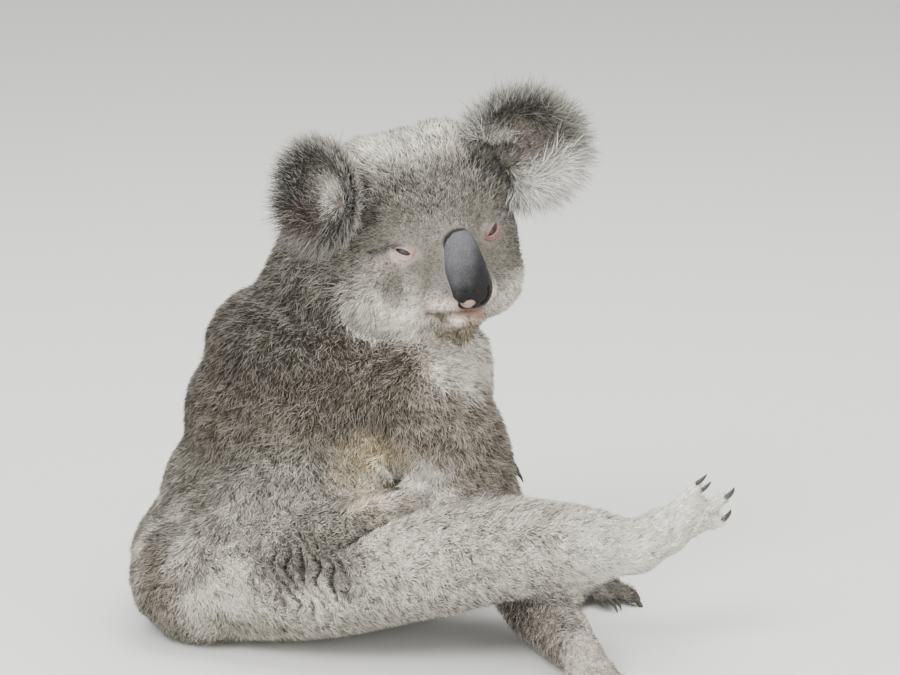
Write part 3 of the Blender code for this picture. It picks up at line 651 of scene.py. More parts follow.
HEAD_MARKS = (
    ((0.036, 0.0, 0.034), (0.034, 0.060, 0.026), (0.138, 0.126, 0.100), 0.80),
    ((-0.004, 0.0, 0.068), (0.055, 0.070, 0.022), (0.68, 0.64, 0.555), 0.90),
    ((0.040, -0.056, -0.034), (0.036, 0.024, 0.026), (0.56, 0.525, 0.445), 0.85),
    # Painted shade on the left cheek, the side of the face away from the key light.
    ((0.034, 0.048, -0.016), (0.026, 0.018, 0.026), (0.19, 0.176, 0.145), 0.60),
    ((0.026, -0.060, -0.062), (0.054, 0.044, 0.026), WHITE, 1.0),
    ((0.020, 0.064, -0.062), (0.050, 0.036, 0.022), WHITE, 0.95),
    ((0.064, -0.021, -0.046), (0.016, 0.012, 0.010), (0.74, 0.64, 0.56), 0.95),
    ((0.064, 0.023, -0.046), (0.016, 0.012, 0.010), (0.74, 0.64, 0.56), 0.95),
    # Painted shade below the chin, and on the chin's middle under the nose, darker and tanner than its white
    # edge.
    ((0.044, 0.003, -0.0790), (0.034, 0.0320, 0.0070), (0.36, 0.31, 0.21), 0.80),
    ((0.056, 0.003, -0.0650), (0.024, 0.0190, 0.0085), (0.46, 0.335, 0.235), 1.0),
    ((0.0555, -0.0105, -0.0600), (0.014, 0.0070, 0.0062), (0.90, 0.82, 0.71), 1.0),
    # Painted shade in the grooves beside the chin.
    ((0.0585, -0.0195, -0.0550), (0.012, 0.0060, 0.0090), STAIN_AND_SHADE, 0.92),
    ((0.058, 0.028, -0.055), (0.010, 0.006, 0.008), STAIN_AND_SHADE, 0.75),
    # Painted shade in the creases between the muzzle and the cheeks, weaker on the left.
    ((0.047, -0.040, -0.022), (0.014, 0.007, 0.020), (0.27, 0.24, 0.20), 0.60),
    ((0.047, 0.040, -0.022), (0.014, 0.007, 0.020), (0.27, 0.24, 0.20), 0.25),
    # Pink bags under the eyes; the left one is painted darker, as shade on that side of the face.
    ((0.0480, -0.0330, -0.0085), (0.012, 0.0105, 0.0062), (0.56, 0.47, 0.41), 0.75),
    ((0.0480, 0.0330, -0.0085), (0.012, 0.0085, 0.0062), (0.42, 0.34, 0.29), 0.60),
    ((0.0435, -0.0450, -0.0012), (0.010, 0.0085, 0.0022), (0.10, 0.09, 0.085), 0.85),
    # Painted shade down the right side of the muzzle, below the eye.
    ((0.046, -0.0455, -0.028), (0.016, 0.0085, 0.016), (0.18, 0.16, 0.13), 0.68),
    # the dark tufts at the front of the left ear's root, where its rim folds down over the crown
    ((0.0060, 0.0400, 0.0680), (0.016, 0.0060, 0.0090), EAR_BAND, 0.90),
    ((0.0230, 0.0360, 0.0590), (0.014, 0.0060, 0.0085), EAR_BAND, 0.95),
    ((0.0340, 0.0400, 0.0440), (0.014, 0.0060, 0.0110), EAR_BAND, 0.95),
    ((0.0330, 0.0500, 0.0300), (0.016, 0.0075, 0.0100), EAR_BAND, 0.95),
    ((0.0270, 0.0570, 0.0340), (0.016, 0.0090, 0.0110), EAR_BAND, 0.90),
    ((0.0120, 0.0560, 0.0540), (0.012, 0.0060, 0.0080), EAR_WHITE, 0.95),
)
colours = np.array([FUR[kind][2] for kind in kinds] + [FUR["head"][2], PALE_GREY, PALE_GREY])
pelt = relaxed(colours[owner], edges, 0.5, 50)
local = in_head(points)
grain = np.array([noise.fractal(Vector(p) * 55.0, 0.8, 2.0, 3) for p in points])
patchy = np.array([noise.noise(Vector(p) * 38.0 + Vector((3.1, 0.0, 7.7))) for p in points])
head_owners = [FLESH.index("head"), FLESH.index("jaw"), LID_OWNER]
on_head = np.isin(owner, head_owners)


def laid_on(base, colour, strength):
    return base * (1 - strength[:, None]) + np.array(colour) * strength[:, None]


# Above the crease the loose flank hangs over the pale thigh in its own colour.
CREASE_SLOPE = 0.533
above_crease = smooth_step(-0.002, 0.004, points[:, 2] + 0.004 * grain - 0.1300 - CREASE_SLOPE * points[:, 0])
above_crease *= smooth_step(-0.105, -0.085, points[:, 0]) * (1 - smooth_step(0.0, 0.010, points[:, 0]))
above_crease *= (points[:, 1] < -0.02) * (owner == FLESH.index("thigh_right"))
pelt = laid_on(pelt, FUR["belly"][2], 0.85 * above_crease)
for place, radii, colour, strength in BODY_MARKS:
    mark = patch(points + 0.010 * grain[:, None], place, radii, 0.5) * strength * ~on_head
    pelt = laid_on(pelt, colour, mark)
for place, radii, colour, strength in HEAD_MARKS:
    mark = patch(local + 0.003 * grain[:, None], place, radii, 0.5) * strength * on_head
    pelt = laid_on(pelt, colour, mark)
rump_like = patch(points, (-0.150, -0.010, 0.060), (0.090, 0.120, 0.070), 0.4)
pelt = laid_on(pelt, WHITE, 0.55 * rump_like * smooth_step(0.05, 0.35, patchy))
pelt = laid_on(pelt, MID_GREY, 0.50 * rump_like * smooth_step(0.05, 0.35, -patchy))
pelt = pelt * (1.0 + 0.10 * grain[:, None])
# Painted shade in the ripples' troughs and painted light on their crests.
pelt = laid_on(pelt, DARK_GREY, 0.75 * smooth_step(0.1, 0.8, ripples(points)))
pelt = laid_on(pelt, PALE_GREY, 0.12 * smooth_step(0.1, 0.9, -ripples(points)))
# Painted shade: a dark line along the crease under the overhanging flank.
crease_gap = points[:, 2] + 0.003 * grain - 0.1265 - CREASE_SLOPE * points[:, 0]
crease = np.exp(-((crease_gap / 0.0026) ** 2)) * smooth_step(-0.095, -0.070, points[:, 0])
crease *= 1 - smooth_step(-0.010, 0.012, points[:, 0])
pelt = laid_on(pelt, DARK_GREY, 0.45 * crease * (points[:, 1] < -0.045) * (points[:, 2] > 0.07))
is_ear = {side: owner == EAR_OWNER[side] for side in SIDES}
for side in SIDES:
    pelt[is_ear[side]] = np.where(bare[is_ear[side]][:, None] > 0.3, EAR_PINK, MID_GREY)
on_lid = owner == LID_OWNER
pelt = laid_on(pelt, LIP_PINK, bare * on_head * ~on_lid)
pelt[: len(lip_line)] = laid_on(pelt[: len(lip_line)], LIP_DARK, 0.9 * lip_line)
pelt = laid_on(pelt, LID_PINK, bare * on_lid)
pelt = laid_on(pelt, LID_EDGE, (1 - smooth_step(0.06, 0.20, lid_share)) * on_lid)
for side, sign in (("right", 1), ("left", -1)):
    axes = np.array(eye_axes(side))
    in_eye = along_axes(axes, points)
    near_eye = np.linalg.norm(in_eye, axis=1) < EYE_AREA
    corner = smooth_step(0.0035, 0.0055, sign * in_eye[:, 1]) * near_eye
    ring = near_eye * on_lid * (1 - smooth_step(0.25, 0.55, lid_share))
    # Round the left eye the lids get a redder ring, painted darker as shade.
    pelt = laid_on(pelt, LEFT_EYE_RING, 0.7 * ring * (side == "left"))
    inner_lid = 1 - smooth_step(0.45, 0.75, lid_share)
    pelt = laid_on(pelt, EYE_CORNER_PINK[side], 0.95 * corner * on_lid * inner_lid)
    bare = np.maximum(bare, 0.9 * corner * on_lid * (1 - smooth_step(0.40, 0.70, lid_share)))
    below = smooth_step(0.0, 0.0030, -in_eye[:, 2]) * near_eye
    pelt = laid_on(pelt, UNDER_LID[side], 0.6 * below * on_lid * smooth_step(0.16, 0.30, lid_share))
pad_gap = pad_reach(points)
nose_rim = (1 - smooth_step(0.0012, 0.0024, pad_gap)) * smooth_step(-0.006, 0.001, local[:, 2]) * on_head
pelt = laid_on(pelt, NOSE_BLACK, 0.9 * nose_rim)
bare = np.maximum(bare, (1 - smooth_step(0.0004, 0.0012, pad_gap)) * on_head)
bare = np.maximum(bare, 0.9 * nose_rim)
pelt = np.clip(pelt, 0.01, 0.9)


# Palms and soles are bare dark leather.
PAWS = {
    # wrist or ankle, the way the paw points, the way its back faces
    "foot_right": ((0.152, -0.0686, 0.0825), (0.87, 0.07, 0.49), (0, -1, 0)),
    "foot_left": ((0.096, 0.0784, 0.0225), (0.845, -0.52, -0.13), (0, 0, 1)),
    "hand_right": ((0.112, -0.1196, 0.0190), (0.25, -0.96, -0.06), (0, 0, 1)),
    "hand_left": ((0.008, 0.1544, 0.1080), (0.92, -0.02, -0.34), (0.3, 0, 0.95)),
}
for name, (place, forward, back) in PAWS.items():
    axes = np.array(axes_at(Vector(place), Vector(forward), Vector(back)))
    ahead = (points - axes[:3, 3]) @ axes[:3, 0]
    below = -((points - axes[:3, 3]) @ axes[:3, 2])
    pad = np.maximum(smooth_step(0.35, 0.70, -(normals @ axes[:3, 2])), smooth_step(0.013, 0.017, below))
    pad *= smooth_step(0.008, 0.018, ahead) * (owner == FLESH.index(name))
    pelt = laid_on(pelt, PAD_LEATHER, pad)
    bare = np.maximum(bare, pad)


def set_attribute(mesh, name, kind, values):
    made = mesh.attributes.new(name, kind, "POINT")
    field = {"FLOAT": "value", "FLOAT_COLOR": "color", "FLOAT_VECTOR": "vector"}[kind]
    made.data.foreach_set(field, np.ascontiguousarray(values, np.float32).ravel())


def with_alpha(colour):
    return np.concatenate([colour, np.ones((len(colour), 1))], axis=1)


set_attribute(skin.data, "pelt", "FLOAT_COLOR", with_alpha(pelt))
set_attribute(skin.data, "bare", "FLOAT", bare)

# The skin's own unwrap, which the coat's patches follow too.
bpy.context.view_layer.objects.active = skin
skin.select_set(True)
skin.data.uv_layers.new(name="OFBake")
bpy.ops.object.mode_set(mode="EDIT")
bpy.ops.mesh.select_all(action="SELECT")
bpy.ops.uv.smart_project(angle_limit=math.radians(66), island_margin=0.001)
bpy.ops.object.mode_set(mode="OBJECT")
skin.select_set(False)
uv_flat = np.empty(len(skin.data.loops) * 2, np.float32)
skin.data.uv_layers["OFBake"].data.foreach_get("uv", uv_flat)
loop_of = np.empty(len(skin.data.loop_triangles) * 3, np.int32)
skin.data.calc_loop_triangles()
skin.data.loop_triangles.foreach_get("loops", loop_of)
skin_uv = uv_flat.reshape(-1, 2)[loop_of].reshape(-1, 3, 2)
triangles = triangles_of(skin.data)


def shader_group(name, inputs, outputs):
    """A shader node group with named sockets, and its two ends."""
    group = bpy.data.node_groups.new(name, "ShaderNodeTree")
    for label, kind, value in inputs:
        socket = group.interface.new_socket(label, in_out="INPUT", socket_type=kind)
        socket.default_value = value
    for label, kind in outputs:
        group.interface.new_socket(label, in_out="OUTPUT", socket_type=kind)
    return group, group.nodes.new("NodeGroupInput"), group.nodes.new("NodeGroupOutput")


def value_of(tree, socket, value):
    """Feeds a socket from another socket, or sets it."""
    if isinstance(value, bpy.types.NodeSocket):
        tree.links.new(value, socket)
    else:
        socket.default_value = value


def math_node(tree, operation, a, b=0.0, c=0.0):
    node = tree.nodes.new("ShaderNodeMath")
    node.operation = operation
    for socket, value in zip(node.inputs, (a, b, c)):
        value_of(tree, socket, value)
    return node.outputs[0]


def inverse(tree, value):
    """1 less a value."""
    return math_node(tree, "SUBTRACT", 1.0, value)


def squared(tree, value):
    return math_node(tree, "POWER", value, 2.0)


def scaled_colour(tree, colour, gain):
    """A colour made lighter or darker by a gain."""
    node = tree.nodes.new("ShaderNodeVectorMath")
    node.operation = "SCALE"
    tree.links.new(colour, node.inputs[0])
    tree.links.new(gain, node.inputs["Scale"])
    return node.outputs[0]


def colour_mix(tree, factor, a, b):
    node = tree.nodes.new("ShaderNodeMix")
    node.data_type = "RGBA"
    value_of(tree, node.inputs["Factor"], factor)
    value_of(tree, node.inputs["A"], a)
    value_of(tree, node.inputs["B"], b)
    return node.outputs["Result"]


def noise_node(tree, vector, scale, detail=3.0, rough=0.5):
    node = tree.nodes.new("ShaderNodeTexNoise")
    value_of(tree, node.inputs["Vector"], vector)
    value_of(tree, node.inputs["Scale"], scale)
    node.inputs["Detail"].default_value = detail
    node.inputs["Roughness"].default_value = rough
    return node.outputs["Fac"]


def ramp(tree, value, low, high):
    """0 below low, 1 above high, smooth between."""
    node = tree.nodes.new("ShaderNodeMapRange")
    node.interpolation_type = "SMOOTHSTEP"
    value_of(tree, node.inputs["Value"], value)
    node.inputs["From Min"].default_value = low
    node.inputs["From Max"].default_value = high
    return node.outputs["Result"]


# Fur colour: dark at the root, its marking's colour along it, silver at the tip, streaked by fine hairs.
fur_group, fur_in, fur_out = shader_group(
    "fur colour",
    [
        ("Pelt", "NodeSocketColor", (0.3, 0.3, 0.3, 1)),
        ("Along", "NodeSocketFloat", 0.5),
        ("Tone", "NodeSocketFloat", 0.5),
        ("Root Shade", "NodeSocketFloat", 0.35),
        ("Tip Light", "NodeSocketFloat", 0.35),
        ("Tone Range", "NodeSocketFloat", 0.9),
        ("Place", "NodeSocketVector", (0, 0, 0)),
    ],
    [("Color", "NodeSocketColor"), ("Height", "NodeSocketFloat"), ("Roughness", "NodeSocketFloat")],
)
streak = noise_node(fur_group, fur_in.outputs["Place"], 900.0, 2.0, 0.6)
streak_gain = math_node(fur_group, "MULTIPLY_ADD", streak, 0.60, 0.70)
root_gain = ramp(fur_group, fur_in.outputs["Along"], 0.0, 0.55)
root_level = inverse(fur_group, fur_in.outputs["Root Shade"])
shade = math_node(fur_group, "MULTIPLY_ADD", root_gain, fur_in.outputs["Root Shade"], root_level)
centred = math_node(fur_group, "SUBTRACT", fur_in.outputs["Tone"], 0.5)
towards_tip = math_node(fur_group, "ADD", fur_in.outputs["Along"], 0.5)
spread_tone = math_node(fur_group, "MULTIPLY", centred, towards_tip)
tone_gain = math_node(fur_group, "MULTIPLY_ADD", spread_tone, fur_in.outputs["Tone Range"], 1.0)
tone_gain = math_node(fur_group, "MAXIMUM", tone_gain, 0.12)
gain = math_node(fur_group, "MULTIPLY", math_node(fur_group, "MULTIPLY", shade, tone_gain), streak_gain)
grey_of = fur_group.nodes.new("ShaderNodeRGBToBW")
fur_group.links.new(fur_in.outputs["Pelt"], grey_of.inputs[0])
# Painted light: pale fur is painted paler, for the light that scatters through white hair, and dark fur a
# little darker.
scattered_light_gain = math_node(fur_group, "MULTIPLY_ADD", squared(fur_group, grey_of.outputs[0]), 0.72, 0.89)
gain = math_node(fur_group, "MULTIPLY", gain, scattered_light_gain)
WHITEST, TIP_SILVER = (0.96, 0.925, 0.83), (0.78, 0.76, 0.70, 1)
held = fur_group.nodes.new("ShaderNodeVectorMath")
held.operation = "MINIMUM"
fur_group.links.new(scaled_colour(fur_group, fur_in.outputs["Pelt"], gain), held.inputs[0])
held.inputs[1].default_value = WHITEST
near_tip = ramp(fur_group, fur_in.outputs["Along"], 0.40, 0.85)
tip_where = math_node(fur_group, "MULTIPLY", near_tip, fur_in.outputs["Tip Light"])
tip_pick = math_node(fur_group, "MULTIPLY", tip_where, ramp(fur_group, fur_in.outputs["Tone"], 0.25, 0.95))
tipped = colour_mix(fur_group, tip_pick, held.outputs[0], TIP_SILVER)
fur_group.links.new(tipped, fur_out.inputs["Color"])
fur_group.links.new(streak, fur_out.inputs["Height"])
fur_group.links.new(math_node(fur_group, "MULTIPLY_ADD", streak, 0.2, 0.6), fur_out.inputs["Roughness"])


def principled(name):
    made = bpy.data.materials.new(name)
    made.use_nodes = True
    tree = made.node_tree
    return made, tree, tree.nodes["Principled BSDF"]


def attribute_node(tree, name):
    node = tree.nodes.new("ShaderNodeAttribute")
    node.attribute_name = name
    return node


def object_place(tree):
    return tree.nodes.new("ShaderNodeTexCoord").outputs["Object"]


def bump_node(tree, shader, height, strength, distance):
    node = tree.nodes.new("ShaderNodeBump")
    node.inputs["Strength"].default_value = strength
    node.inputs["Distance"].default_value = distance
    tree.links.new(height, node.inputs["Height"])
    tree.links.new(node.outputs["Normal"], shader.inputs["Normal"])


skin_look, tree, shader = principled("hide and underfur")
pelt_node = attribute_node(tree, "pelt")
bare_node = attribute_node(tree, "bare")
place = object_place(tree)
under = tree.nodes.new("ShaderNodeGroup")
under.node_tree = fur_group
under.inputs["Along"].default_value = 0.45
under.inputs["Tone"].default_value = 0.35
under.inputs["Root Shade"].default_value = 0.60
under.inputs["Tip Light"].default_value = 0.0
tree.links.new(pelt_node.outputs["Color"], under.inputs["Pelt"])
tree.links.new(place, under.inputs["Place"])
pores = noise_node(tree, place, 1400.0, 2.0)
pore_gain = math_node(tree, "MULTIPLY_ADD", pores, 0.5, 0.75)
naked = scaled_colour(tree, pelt_node.outputs["Color"], pore_gain)
hide_colour = colour_mix(tree, bare_node.outputs["Fac"], under.outputs["Color"], naked)
tree.links.new(hide_colour, shader.inputs["Base Color"])
rough = math_node(tree, "MULTIPLY_ADD", bare_node.outputs["Fac"], -0.35, 0.85)
tree.links.new(rough, shader.inputs["Roughness"])
shader.inputs["Specular IOR Level"].default_value = 0.25
bump_node(tree, shader, under.outputs["Height"], 0.5, 0.0006)
skin.data.materials.clear()
skin.data.materials.append(skin_look)
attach(skin, "root")
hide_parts(*FLESH, "ear_right", "ear_left")

# ---------------------------------------------------------------------------------------------------
# The coat: thin overlapping tufts rooted in the skin, closed and tapering, that lie the way the fur
# grows: back from the nose over the head, down the trunk, and along each limb to its paw.
# ---------------------------------------------------------------------------------------------------
FLOW = {
    "neck": (-0.30, 0.05, -0.95),
    "chest": (-0.18, 0.00, -0.98),
    "belly": (-0.22, 0.00, -0.97),
    "rump": (-0.30, 0.00, -0.95),
    "thigh_right": (0.93, -0.22, -0.25),
    "shank_right": (0.96, 0.00, -0.22),
    "foot_right": (0.87, 0.07, 0.49),
    "thigh_left": (0.85, 0.35, -0.35),
    "shank_left": (0.72, -0.58, -0.25),
    "foot_left": (0.845, -0.52, -0.13),
    "upper_arm_right": (0.38, 0.18, -0.90),
    "forearm_right": (0.38, -0.82, -0.35),
    "hand_right": (0.25, -0.96, -0.06),
    "upper_arm_left": (-0.62, 0.38, -0.66),
    "forearm_left": (0.93, 0.00, -0.35),
    "hand_left": (0.92, -0.02, -0.34),
}
lie = np.zeros_like(points)
for index, name in enumerate(FLESH):
    if name in FLOW:
        lie[owner == index] = np.array(Vector(FLOW[name]).normalized())
turn = np.array(HEAD.to_3x3())
away = in_head(points) - np.array((0.075, 0.0, -0.020))
away[:, 2] *= 1.15
sag = np.zeros_like(away)
sag[:, 2] = -0.030 * smooth_step(0.02, 0.07, np.abs(in_head(points)[:, 1])) * (in_head(points)[:, 2] < 0.02)
sag[:, 2] -= 0.05 * (1 - smooth_step(-0.03, 0.0, in_head(points)[:, 0]))
head_lie = unit(away + sag) @ turn.T
lie[on_head] = head_lie[on_head]
lie = relaxed(lie, edges, 0.5, 30)
for side in SIDES:
    spread = points - np.array(ear_point(side, 0.0, 0.0))
    lie[is_ear[side]] = unit(spread)[is_ear[side]]
lie = lie - normals * np.sum(lie * normals, axis=1, keepdims=True)
swirl = np.array([noise.noise(Vector(p) * 34.0 + Vector((0.0, 9.3, 2.2))) for p in points])
lie = unit(lie) + np.cross(normals, unit(lie)) * (0.9 * swirl * ~(is_ear["right"] | is_ear["left"]))[:, None]
lie = unit(lie)
length_at = fur_length(points, np.minimum(owner, len(FLESH) - 1), edges) * (1.0 + 0.25 * patchy)
length_at[on_lid] = 0.0014 + 0.0016 * lid_share[on_lid]
length_at *= 1.0 - 0.45 * np.clip(fold_depth(points) / 0.006, 0, 1)
length_at *= 1.0 - 0.30 * patch(points, RIPPLE_PLACE, RIPPLE_REACH, 0.5)

# Tufts on each square centimetre: few where they are long, many where they are short.
DENSITY, DENSE_AT, DENSEST, HIDDEN_SHARE = 70.0, 0.010, 230.0, 0.35
COAT_PIECES = {
    "coat_face": ("head", "jaw"),
    "coat_crown": ("head", "jaw"),
    "coat_neck": ("neck",),
    "coat_back": ("chest",),
    "coat_flank": ("belly",),
    "coat_rump": ("rump",),
    "coat_leg_right": ("thigh_right", "shank_right"),
    "coat_leg_left": ("thigh_left", "shank_left"),
    "coat_arm_right": ("upper_arm_right", "forearm_right"),
    "coat_arm_left": ("upper_arm_left", "forearm_left"),
    "coat_foot_right": ("foot_right",),
    "coat_foot_left": ("foot_left",),
    "coat_hands": ("hand_right", "hand_left"),
}
FACE_FROM = 0.012
draw = np.random.default_rng(41)
corner_a, corner_b, corner_c = (points[triangles[:, i]] for i in range(3))
face_area = np.linalg.norm(np.cross(corner_b - corner_a, corner_c - corner_a), axis=1) / 2
face_owner = owner[triangles[:, 0]]
face_normal = unit(np.cross(corner_b - corner_a, corner_c - corner_a))
face_middle = (corner_a + corner_b + corner_c) / 3
face_density = np.clip(DENSITY * (DENSE_AT / length_at[triangles].mean(axis=1)) ** 0.95, 35.0, DENSEST)
face_density[(face_normal[:, 2] < -0.6) & (face_middle[:, 2] < 0.012)] *= HIDDEN_SHARE


def roots_on(faces, density):
    """Random roots on chosen triangles: which triangle each is on, and its weights there."""
    share = face_area[faces] * 1e4 * density
    count = int(share.sum())
    order = (np.arange(count) + draw.random(count)) / count
    picked = faces[np.searchsorted(np.cumsum(share) / share.sum(), order).clip(0, len(faces) - 1)]
    u, v = draw.random(count), draw.random(count)
    fold = u + v > 1
    u[fold], v[fold] = 1 - u[fold], 1 - v[fold]
    return picked, np.stack([1 - u - v, u, v], axis=1)


def at_roots(values, picked, weights):
    """Values of the skin's points blended at the roots."""
    corners = values[triangles[picked]]
    return np.einsum("nk,nk...->n...", weights, corners)


PATCH = 0.003
# How deep a tuft is rooted, how near the floor it may come, and one leader for each of so many tufts.
TUFT_SINK, TUFT_OVER_FLOOR, TUFTS_TO_A_LEADER = 0.0006, 0.0004, 12
# Each shape of tuft: how far along it each ring stands, and how many sides and how much width it has.
SPIKE = ((0.0, 3, 1.0), (1.0, 1, 0.0))
SPINDLE = ((0.0, 1, 0.0), (0.46, 3, 1.0), (1.0, 1, 0.0))


def tuft_faces(shape):
    """Triangles that close one tuft over its rings."""
    faces, first = [], 0
    if shape[0][1] == 3:
        faces.append((2, 1, 0))
    for (_, sides, _), (_, next_sides, _) in zip(shape, shape[1:]):
        after = first + sides
        for corner in range(3):
            a, b = first + corner % sides, first + (corner + 1) % 3 % sides
            c, d = after + corner % next_sides, after + (corner + 1) % 3 % next_sides
            if sides == 3:
                faces.append((a, b, d))
            if next_sides == 3:
                faces.append((a, d, c))
        first = after
    return np.array(faces)


def tufts(name, shape, root, normal, way, length, width, lift, droop, colour, root_uv, clump, stray):
    """Builds a coat piece: one closed, tapering, bending tuft at each root."""
    count = len(root)
    leaders = max(1, count // TUFTS_TO_A_LEADER)
    near = KDTree(leaders)
    for index in draw.permutation(count)[:leaders]:
        near.insert(Vector(root[index]), int(index))
    near.balance()
    leader = np.array([near.find(Vector(p))[1] for p in root])
    pull = (root[leader] - root) * clump
    tone = 0.66 * draw.random(count) + 0.34 * draw.random(count)[leader]
    across = np.cross(way, normal)
    turned = draw.normal(0.0, stray, count) + draw.normal(0.0, stray * 0.8, count)[leader]
    way = unit(way + across * turned[:, None])
    across = unit(np.cross(way, normal))
    curl = draw.normal(0.0, 0.10, count)[:, None]
    rise = np.tan(np.radians(lift)) * draw.uniform(0.7, 1.3, count)
    scale = 1.0 / np.sqrt(1.0 + (rise * 0.7) ** 2)
    middles = []
    for t, _, _ in shape:
        up = rise * t - droop * rise * t * t
        bent = way * t + normal * up[:, None] + across * curl * t * t
        middles.append(root - normal * TUFT_SINK + (length * scale)[:, None] * bent + pull * t * t)
    rings = []
    for index, (t, sides, share) in enumerate(shape):
        if sides == 1:
            rings.append(middles[index])
            continue
        ahead = unit(middles[index + 1] - middles[index])
        top = np.cross(across, ahead)
        for corner in range(3):
            angle = 2 * math.pi * (corner + 0.25) / 3
            wide = across * math.cos(angle) * (width * share / 2)[:, None]
            rings.append(middles[index] + wide + top * math.sin(angle) * (width * share * 0.36)[:, None])
    made = np.stack(rings, axis=1)
    made[:, :, 2] = np.maximum(made[:, :, 2], TUFT_OVER_FLOOR)
    faces = tuft_faces(shape)
    per = made.shape[1]
    # the first few tufts show whether the faces look outwards
    a, b, c = (made[:400, faces[:, i]] - made[:400, :1] for i in range(3))
    if np.einsum("nfk,nfk->", a, np.cross(b, c)) < 0:
        faces = faces[:, ::-1]
    index = (np.arange(count)[:, None, None] * per + faces[None]).reshape(-1, 3)
    mesh = bpy.data.meshes.new(name)
    mesh.vertices.add(count * per)
    mesh.vertices.foreach_set("co", made.astype(np.float32).ravel())
    mesh.loops.add(index.size)
    mesh.loops.foreach_set("vertex_index", index.astype(np.int32).ravel())
    mesh.polygons.add(len(index))
    mesh.polygons.foreach_set("loop_start", np.arange(0, index.size, 3, dtype=np.int32))
    mesh.polygons.foreach_set("use_smooth", np.ones(len(index), bool))
    mesh.update(calc_edges=True)
    along = np.array([t for t, sides, _ in shape for _ in range(sides)])
    corners = [(corner, sides) for _, sides, _ in shape for corner in range(sides)]
    sideways = np.array([(corner + 0.5 * (sides == 1)) / 3 for corner, sides in corners])
    strand = np.empty((count, per, 3))
    strand[:, :, 0] = along
    strand[:, :, 1] = tone[:, None]
    strand[:, :, 2] = sideways
    set_attribute(mesh, "strand", "FLOAT_VECTOR", strand)
    set_attribute(mesh, "pelt", "FLOAT_COLOR", np.repeat(with_alpha(colour), per, axis=0))
    patch_uv = np.stack([sideways - 0.3, along - 0.5], axis=1) * PATCH
    uv = (root_uv[:, None, :] + patch_uv[None]).reshape(-1, 2)
    layer = mesh.uv_layers.new(name="OFBake")
    layer.data.foreach_set("uv", uv[index.ravel()].astype(np.float32).ravel())
    return new_object(name, mesh)


def fur_look(name, root_shade, tip_light, tone_range):
    """A coat's material, on the shared fur colour."""
    made, tree, shader = principled(name)
    strand = attribute_node(tree, "strand")
    split_strand = tree.nodes.new("ShaderNodeSeparateXYZ")
    tree.links.new(strand.outputs["Vector"], split_strand.inputs[0])
    node = tree.nodes.new("ShaderNodeGroup")
    node.node_tree = fur_group
    node.inputs["Root Shade"].default_value = root_shade
    node.inputs["Tip Light"].default_value = tip_light
    node.inputs["Tone Range"].default_value = tone_range
    tree.links.new(attribute_node(tree, "pelt").outputs["Color"], node.inputs["Pelt"])
    tree.links.new(split_strand.outputs[0], node.inputs["Along"])
    tree.links.new(split_strand.outputs[1], node.inputs["Tone"])
    tree.links.new(object_place(tree), node.inputs["Place"])
    tree.links.new(node.outputs["Color"], shader.inputs["Base Color"])
    tree.links.new(node.outputs["Roughness"], shader.inputs["Roughness"])
    shader.inputs["Specular IOR Level"].default_value = 0.22
    bump_node(tree, shader, node.outputs["Height"], 0.35, 0.0004)
    return made


body_fur = fur_look("body fur", 0.60, 0.50, 2.1)
leg_fur = fur_look("leg fur", 0.60, 0.40, 2.3)
face_fur = fur_look("face fur", 0.55, 0.34, 2.1)
paw_fur = fur_look("paw fur", 0.42, 0.30, 1.8)
ear_down = fur_look("ear down", 0.45, 0.25, 1.7)
ear_fringe = fur_look("ear fringe", 0.40, 0.55, 1.4)


def finished(thing, look):
    thing.data.materials.clear()
    thing.data.materials.append(look)
    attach(thing, "root")
    return thing


PAWS_FURRED = ("coat_foot_right", "coat_foot_left", "coat_hands")
SLOT = {piece: "fur_pale" for piece in PAWS_FURRED}
SLOT.update({"coat_arm_right": "fur_brown", "coat_arm_left": "fur_brown"})
eye_centres = np.array([tuple(HEAD @ EYE_PLACE[side]) for side in SIDES])
WIDE_AT, WIDTH, DROOP = 0.0100, 0.00130, 0.42
# angle a tuft rises at, how far it leans to its leader, how much it strays, share of its full length
HABIT = {"face": (38.0, 0.10, 0.42, 0.86), "paw": (30.0, 0.16, 0.34, 1.0), "body": (46.0, 0.22, 0.62, 0.86)}
for piece, names in COAT_PIECES.items():
    indices = [FLESH.index(name) for name in names]
    group = "paw" if piece in PAWS_FURRED else "body"
    chosen = np.isin(face_owner, indices)
    if piece in ("coat_face", "coat_crown"):
        ahead = in_head(face_middle)[:, 0] > FACE_FROM
        chosen = ((chosen | (face_owner == LID_OWNER)) & ahead) if piece == "coat_face" else chosen & ~ahead
        group = "face"
    faces = np.flatnonzero(chosen)
    picked, weights = roots_on(faces, face_density[faces])
    root = at_roots(points, picked, weights)
    keep = draw.random(len(root)) > at_roots(bare, picked, weights) * 1.6
    keep &= root[:, 2] > 0.0012
    if group == "face":
        on_rim = face_owner[picked] == LID_OWNER
        for centre in eye_centres:
            keep &= (np.linalg.norm(root - centre, axis=1) > EYE_RADIUS + LID_THICKNESS) | on_rim
    picked, weights, root = picked[keep], weights[keep], root[keep]
    normal = unit(at_roots(normals, picked, weights))
    way = unit(at_roots(lie, picked, weights))
    lift, clump, stray, full = HABIT[group]
    length = at_roots(length_at, picked, weights) * draw.uniform(0.75, 1.25, len(root)) * full
    colour = at_roots(pelt, picked, weights)
    root_uv = np.einsum("nk,nkj->nj", weights, skin_uv[picked])
    width = WIDTH * np.clip((length / WIDE_AT) ** 0.45, 0.6, 1.2) * draw.uniform(0.7, 1.3, len(root))
    look = leg_fur if "leg" in piece else {"face": face_fur, "paw": paw_fur, "body": body_fur}[group]
    coat = tufts(piece, SPIKE, root, normal, way, length, width, lift, DROOP, colour, root_uv, clump, stray)
    finished(coat, look)

